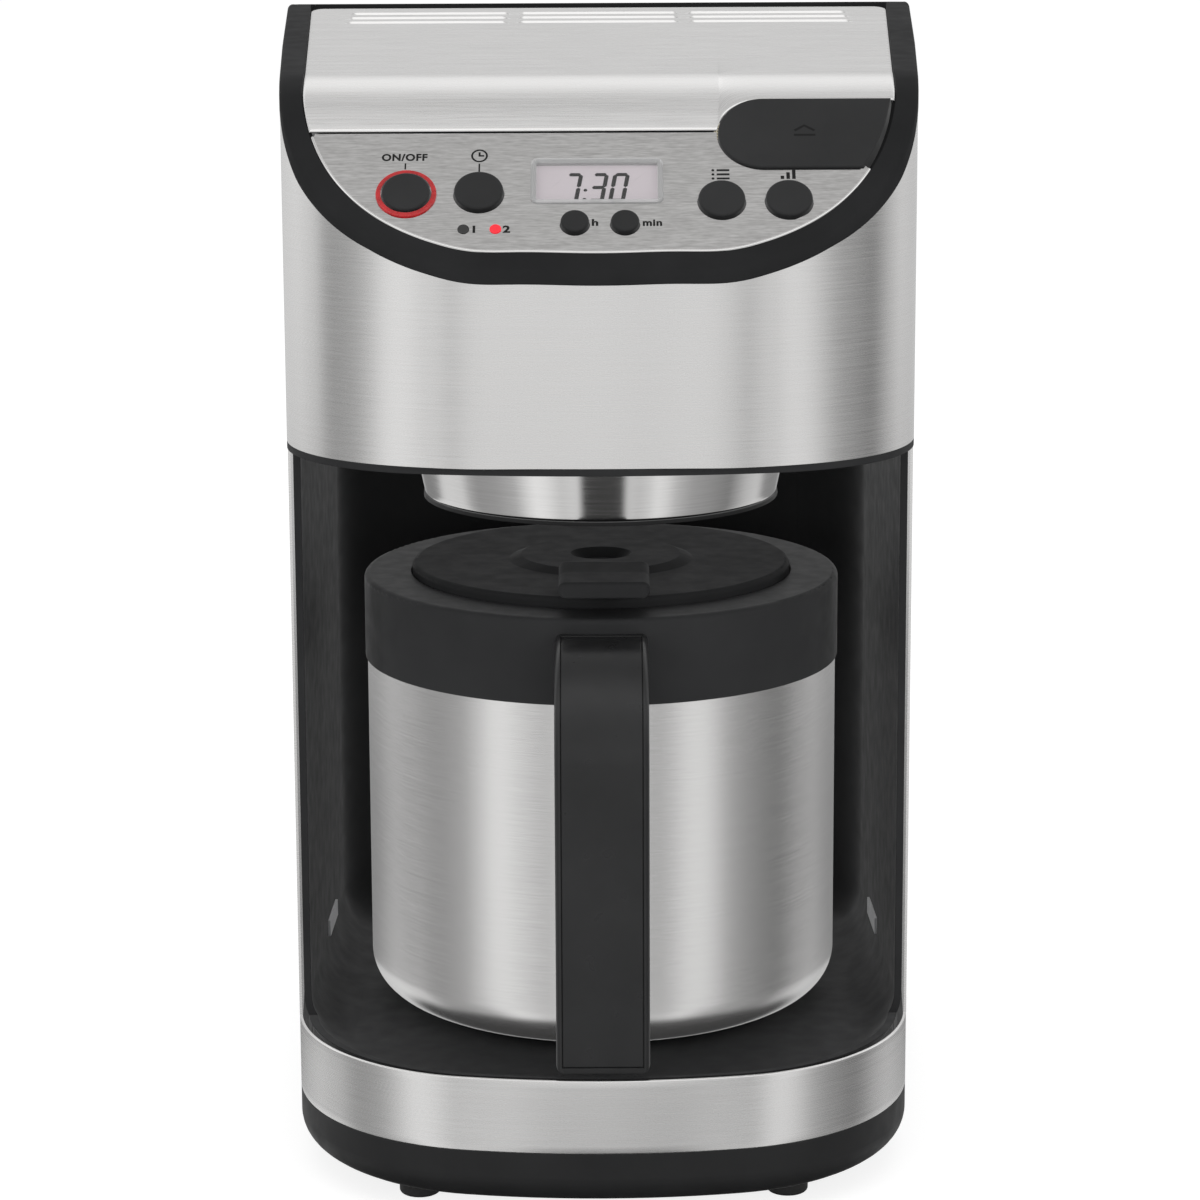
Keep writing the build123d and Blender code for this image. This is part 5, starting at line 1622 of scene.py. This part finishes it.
@dataclass
class Studio:
    """Pale floor, soft light and the camera of the photograph.

    The levels are stops of degrees and grey. A fade is the value where it is nothing and the value
    where it is full, of the height of a direction or of its turn in degrees.
    """

    focal: float = 3509.5
    frame: float = 1200.0
    sensor: float = 36.0
    principal: Pair = (600.7, 500.0)
    pitch_deg: float = 10.815
    roll: float = -0.00448
    stand_back: float = 1009.2
    eye_z: float = 417.9
    aim_z: float = 0.2
    ambient: float = 0.55
    floor_half: float = 9000.0
    floor_tone: float = 0.86
    floor_share: float = 0.62
    round_levels: tuple[Pair, ...] = (
        (-180, 0.62), (-150, 0.78), (-128, 0.95), (-105, 0.86), (-97, 0.52), (-90, 0.40), (-75, 0.44),
        (-60, 0.58), (-51, 0.95), (-45, 1.14), (-38, 1.08), (-27, 0.80), (-12, 0.97), (0, 1.08), (12, 0.95),
        (26, 0.74), (33, 0.85), (39, 1.06), (46, 0.94), (53, 0.66), (65, 0.46), (80, 0.38), (95, 0.28),
        (111, 0.66), (125, 0.84), (150, 0.66), (180, 0.62))
    low_levels: tuple[Pair, ...] = (
        (-180, 0.25), (-147, 0.28), (-123, 0.38), (-108, 0.24), (-95, 0.30), (-82, 0.33), (-70, 0.50),
        (-63, 0.95), (-55, 1.35), (-49, 1.15), (-43, 0.72), (-36, 0.52), (-28, 0.42), (-12, 0.85), (0, 0.90),
        (15, 0.60), (27, 0.22), (36, 0.52), (44, 1.00), (51, 1.25), (57, 1.00), (63, 0.58), (72, 0.30),
        (85, 0.16), (98, 0.10), (112, 0.25), (127, 0.35), (147, 0.30), (180, 0.25))
    over_levels: tuple[Pair, ...] = (
        (0, 0.54), (14, 0.55), (22, 0.68), (33, 1.24), (52, 1.26), (66, 0.72), (84, 0.64), (97, 0.68),
        (108, 1.45), (124, 1.55), (142, 1.00), (165, 0.80), (180, 0.78))
    over_fade: Pair = (0.04, 0.22)
    low_fades: tuple[Pair, ...] = ((-0.17, -0.24), (-0.355, -0.33))
    stand_level: float = 0.06
    stand_turn: float = 1.5
    stand_fades: tuple[tuple[Pair, Pair], ...] = (((17.0, 13.0), (-0.38, -0.45)),
                                                  ((95.0, 125.0), (-0.56, -0.66)))
    ground_level: float = 0.05
    ground_fade: Pair = (-0.64, -0.74)

    def camera(self) -> None:
        """Camera at the photograph's distance, height, pitch and framing."""
        lens = bpy.data.cameras.new("camera")
        lens.sensor_width = self.sensor
        lens.lens = self.sensor * self.focal / self.frame
        lens.shift_x = (0.5 * self.frame - self.principal[0]) / self.frame
        lens.shift_y = (self.principal[1] - 0.5 * self.frame) / self.frame
        lens.clip_start = 0.05
        eye = put_in("camera", lens)
        place = Matrix.Translation((0.0, (Machine.front - self.stand_back) * MM, self.eye_z * MM))
        tilt = Matrix.Rotation(math.radians(90.0 - self.pitch_deg), 4, "X")
        eye.matrix_world = place @ tilt @ Matrix.Rotation(self.roll, 4, "Z")
        bpy.context.scene.camera = eye

    def lamp(self, name: str, place: tuple[float, float, float], size: Pair,
             power: float) -> None:
        """Soft box at a place in metres, turned towards the middle of the machine.

        Args:
            name: Name of the lamp.
            place: Place in metres.
            size: Width and height in metres.
            power: Power in watts.
        """
        light = bpy.data.lights.new(name, "AREA")
        light.shape = "RECTANGLE"
        light.size, light.size_y = size
        light.energy = power
        box = put_in(name, light)
        back = np.array(place) - np.array((0.0, 0.0, self.aim_z))
        back /= np.linalg.norm(back)
        side = np.cross((0.0, 0.0, 1.0), back)
        side /= np.linalg.norm(side)
        turn = Matrix(np.stack([side, np.cross(back, side), back], axis=1).tolist())
        box.matrix_world = Matrix.Translation(place) @ turn.to_4x4()
        box.visible_glossy = False

    def lights(self) -> None:
        """Two tall side boxes, a broad one above the front and one above the back."""
        self.lamp("left_box", (-1.7, -1.5, 0.7), (0.5, 1.6), 12.0)
        self.lamp("right_box", (1.7, -1.5, 0.7), (0.5, 1.6), 11.0)
        self.lamp("top_box", (0.0, -0.7, 1.9), (1.6, 1.0), 6.0)
        self.lamp("back_box", (0.0, 1.5, 1.6), (2.0, 0.8), 6.0)

    def floor(self) -> None:
        """Wide pale floor that stays white to the camera and keeps the machine's shadow.

        A share of it glows to the camera, as much as makes the whole white. The steel looks through it
        at the studio's bands.
        """
        line = np.linspace(-self.floor_half, self.floor_half, 3)
        piece = lay_grid("floor", pack(line, line[:, None], 0.0))
        paint = Wiring("floor_paint")
        tones = (grey(self.floor_tone - 0.01), grey(self.floor_tone + 0.01))
        paint.finish({"Base Color": paint.blend(paint.noise(1.5), *tones), "Roughness": 0.7,
                      "Specular IOR Level": 0.2})
        seen, mirrored = paint.rays()
        lift = (1.0 - (1.0 - self.floor_share) * self.floor_tone * self.ambient) / self.floor_share
        glow = paint.add("Emission", {"Color": grey(1.0), "Strength": lift}, "Emission")
        share = paint.math("MULTIPLY", seen, self.floor_share)
        white = paint.either(share, paint.shader.outputs["BSDF"], glow)
        last = paint.either(mirrored, white, paint.add("BsdfTransparent", {}, "BSDF"))
        paint.put(paint.nodes["Material Output"].inputs["Surface"], last)
        piece.data.materials.append(paint.material)

    def surroundings(self) -> None:
        """White behind the machine, and soft grey bands round and over it for the steel to show.

        Two sets of bands follow the turn away from the camera's side, one at the horizon and one lower
        down, with a dark stand under them in the middle and behind, and a dark ground below. A third
        set follows the way from the rear horizon over the top to the front.
        """
        world = bpy.data.worlds.new("studio")
        bpy.context.scene.world = world
        world.use_nodes = True
        world.node_tree.nodes.clear()
        graph = Graph(world.node_tree)
        way = graph.nodes.new("ShaderNodeSeparateXYZ")
        graph.links.new(graph.nodes.new("ShaderNodeTexCoord").outputs["Generated"], way.inputs["Vector"])
        x, y, z = (way.outputs[axis] for axis in "XYZ")
        round_turn = graph.math("ARCTAN2", x, graph.math("MULTIPLY", y, -1.0))
        over_turn = graph.math("ARCTAN2", graph.math("MAXIMUM", z, 0.0), y)
        low = graph.math("MULTIPLY", *(graph.fade(z, *fade) for fade in self.low_fades))
        aside = graph.math("ABSOLUTE", graph.math("SUBTRACT", round_turn, math.radians(self.stand_turn)))
        stands = []
        for turns, heights in self.stand_fades:
            turned_by = graph.fade(aside, *map(math.radians, turns))
            stands.append(graph.math("MULTIPLY", turned_by, graph.fade(z, *heights)))
        bands = graph.ramp(round_turn, self.round_levels)
        for share, level in (
            (low, graph.ramp(round_turn, self.low_levels)),
            (graph.math("MAXIMUM", *stands), grey(self.stand_level)),
            (graph.fade(z, *self.ground_fade), grey(self.ground_level)),
            (graph.fade(z, *self.over_fade), graph.ramp(over_turn, self.over_levels)),
        ):
            bands = graph.blend(share, bands, level)
        studio = graph.add("Background", {"Color": bands}, "Background")
        white = graph.add("Background", {"Color": grey(1.0)}, "Background")
        soft = graph.add("Background", {"Color": grey(1.0), "Strength": self.ambient}, "Background")
        seen, mirrored = graph.rays()
        last = graph.either(seen, graph.either(mirrored, soft, studio), white)
        graph.put(graph.nodes.new("ShaderNodeOutputWorld").inputs["Surface"], last)

    def build(self) -> None:
        """Set the whole studio up."""
        self.camera()
        self.lights()
        self.floor()
        self.surroundings()
        bpy.context.scene.view_settings.view_transform = "Standard"


FINISH_NODES: dict[Finish, str] = {
    SATIN_BLACK: "base_tub base_plate rear_cover head_deck hinge_brackets panel_carrier lid_liner lid_latch "
                 "shroud_trim filter_basket basket_bail drip_pin shower_arm",
    BAY_BLACK_PAINTED_LIGHT: "bay_liner head_floor",
    BEZEL_BLACK: "top_bezel",
    BUTTON_BLACK: "power_button auto_button hour_button minute_button program_button strength_button "
                  "open_button",
    GLOSS_BLACK: "tact_switches thermostat",
    CARAFE_BLACK: "carafe_base carafe_collar pour_valve",
    HANDLE_BLACK: "handle_grip handle_inlay",
    STOPPER_BLACK_PAINTED_SHADE: "carafe_lid thumb_lever",
    PAD_GREY_PAINTED_LIGHT: "bay_pads",
    TANK_GREY: "water_tank",
    PANEL_STEEL: "base_band steel_wrap control_panel lid_skin",
    SCREW_STEEL: "base_screws rear_screws basket_shroud hose_clamp carafe_shell carafe_flask lever_pin",
    CHALKY_RUBBER: "rubber_feet cord_inlet inlet_hose riser_hose carafe_lid_seal",
    RED_RING: "light_ring",
    LAMPS: "indicator_lights",
    PANE: "lcd_glass",
    DISPLAY: "lcd_module",
    GREEN_BOARD: "control_board",
    WOVEN_WIRE: "mesh_filter",
    CAST_METAL: "flow_heater heater_saddles",
}
NODE_FINISHES = {name: finish for finish, names in FINISH_NODES.items() for name in names.split()}


def coat_nodes(nodes: dict[str, Piece]) -> None:
    """Give every node of the frame its finish, and let the steel mirror the studio past the dark housing.

    Args:
        nodes: Nodes of the frame by name.
    """
    for name, node in nodes.items():
        material = made(NODE_FINISHES[name])
        node.visible_glossy = name.startswith(CARAFE_NODES)
        if not node.material_slots:
            node.data.materials.append(material)
        for slot in node.material_slots:
            slot.material = material
        LOG.info("node %s: %s", name, material.name)


def main() -> None:
    """Load the frame, build each sub-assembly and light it."""
    logging.basicConfig(level=logging.INFO, format="%(name)s: %(message)s")
    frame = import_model()
    coat_nodes(frame["nodes"])
    machine = Machine()
    for assembly in (Base(machine), Head(machine), Bezel(machine), Lid(machine), Panel(machine),
                     BrewHead(machine), Carafe(machine), Marks(machine), Studio()):
        assembly.build()


if __name__ == "__main__":
    main()
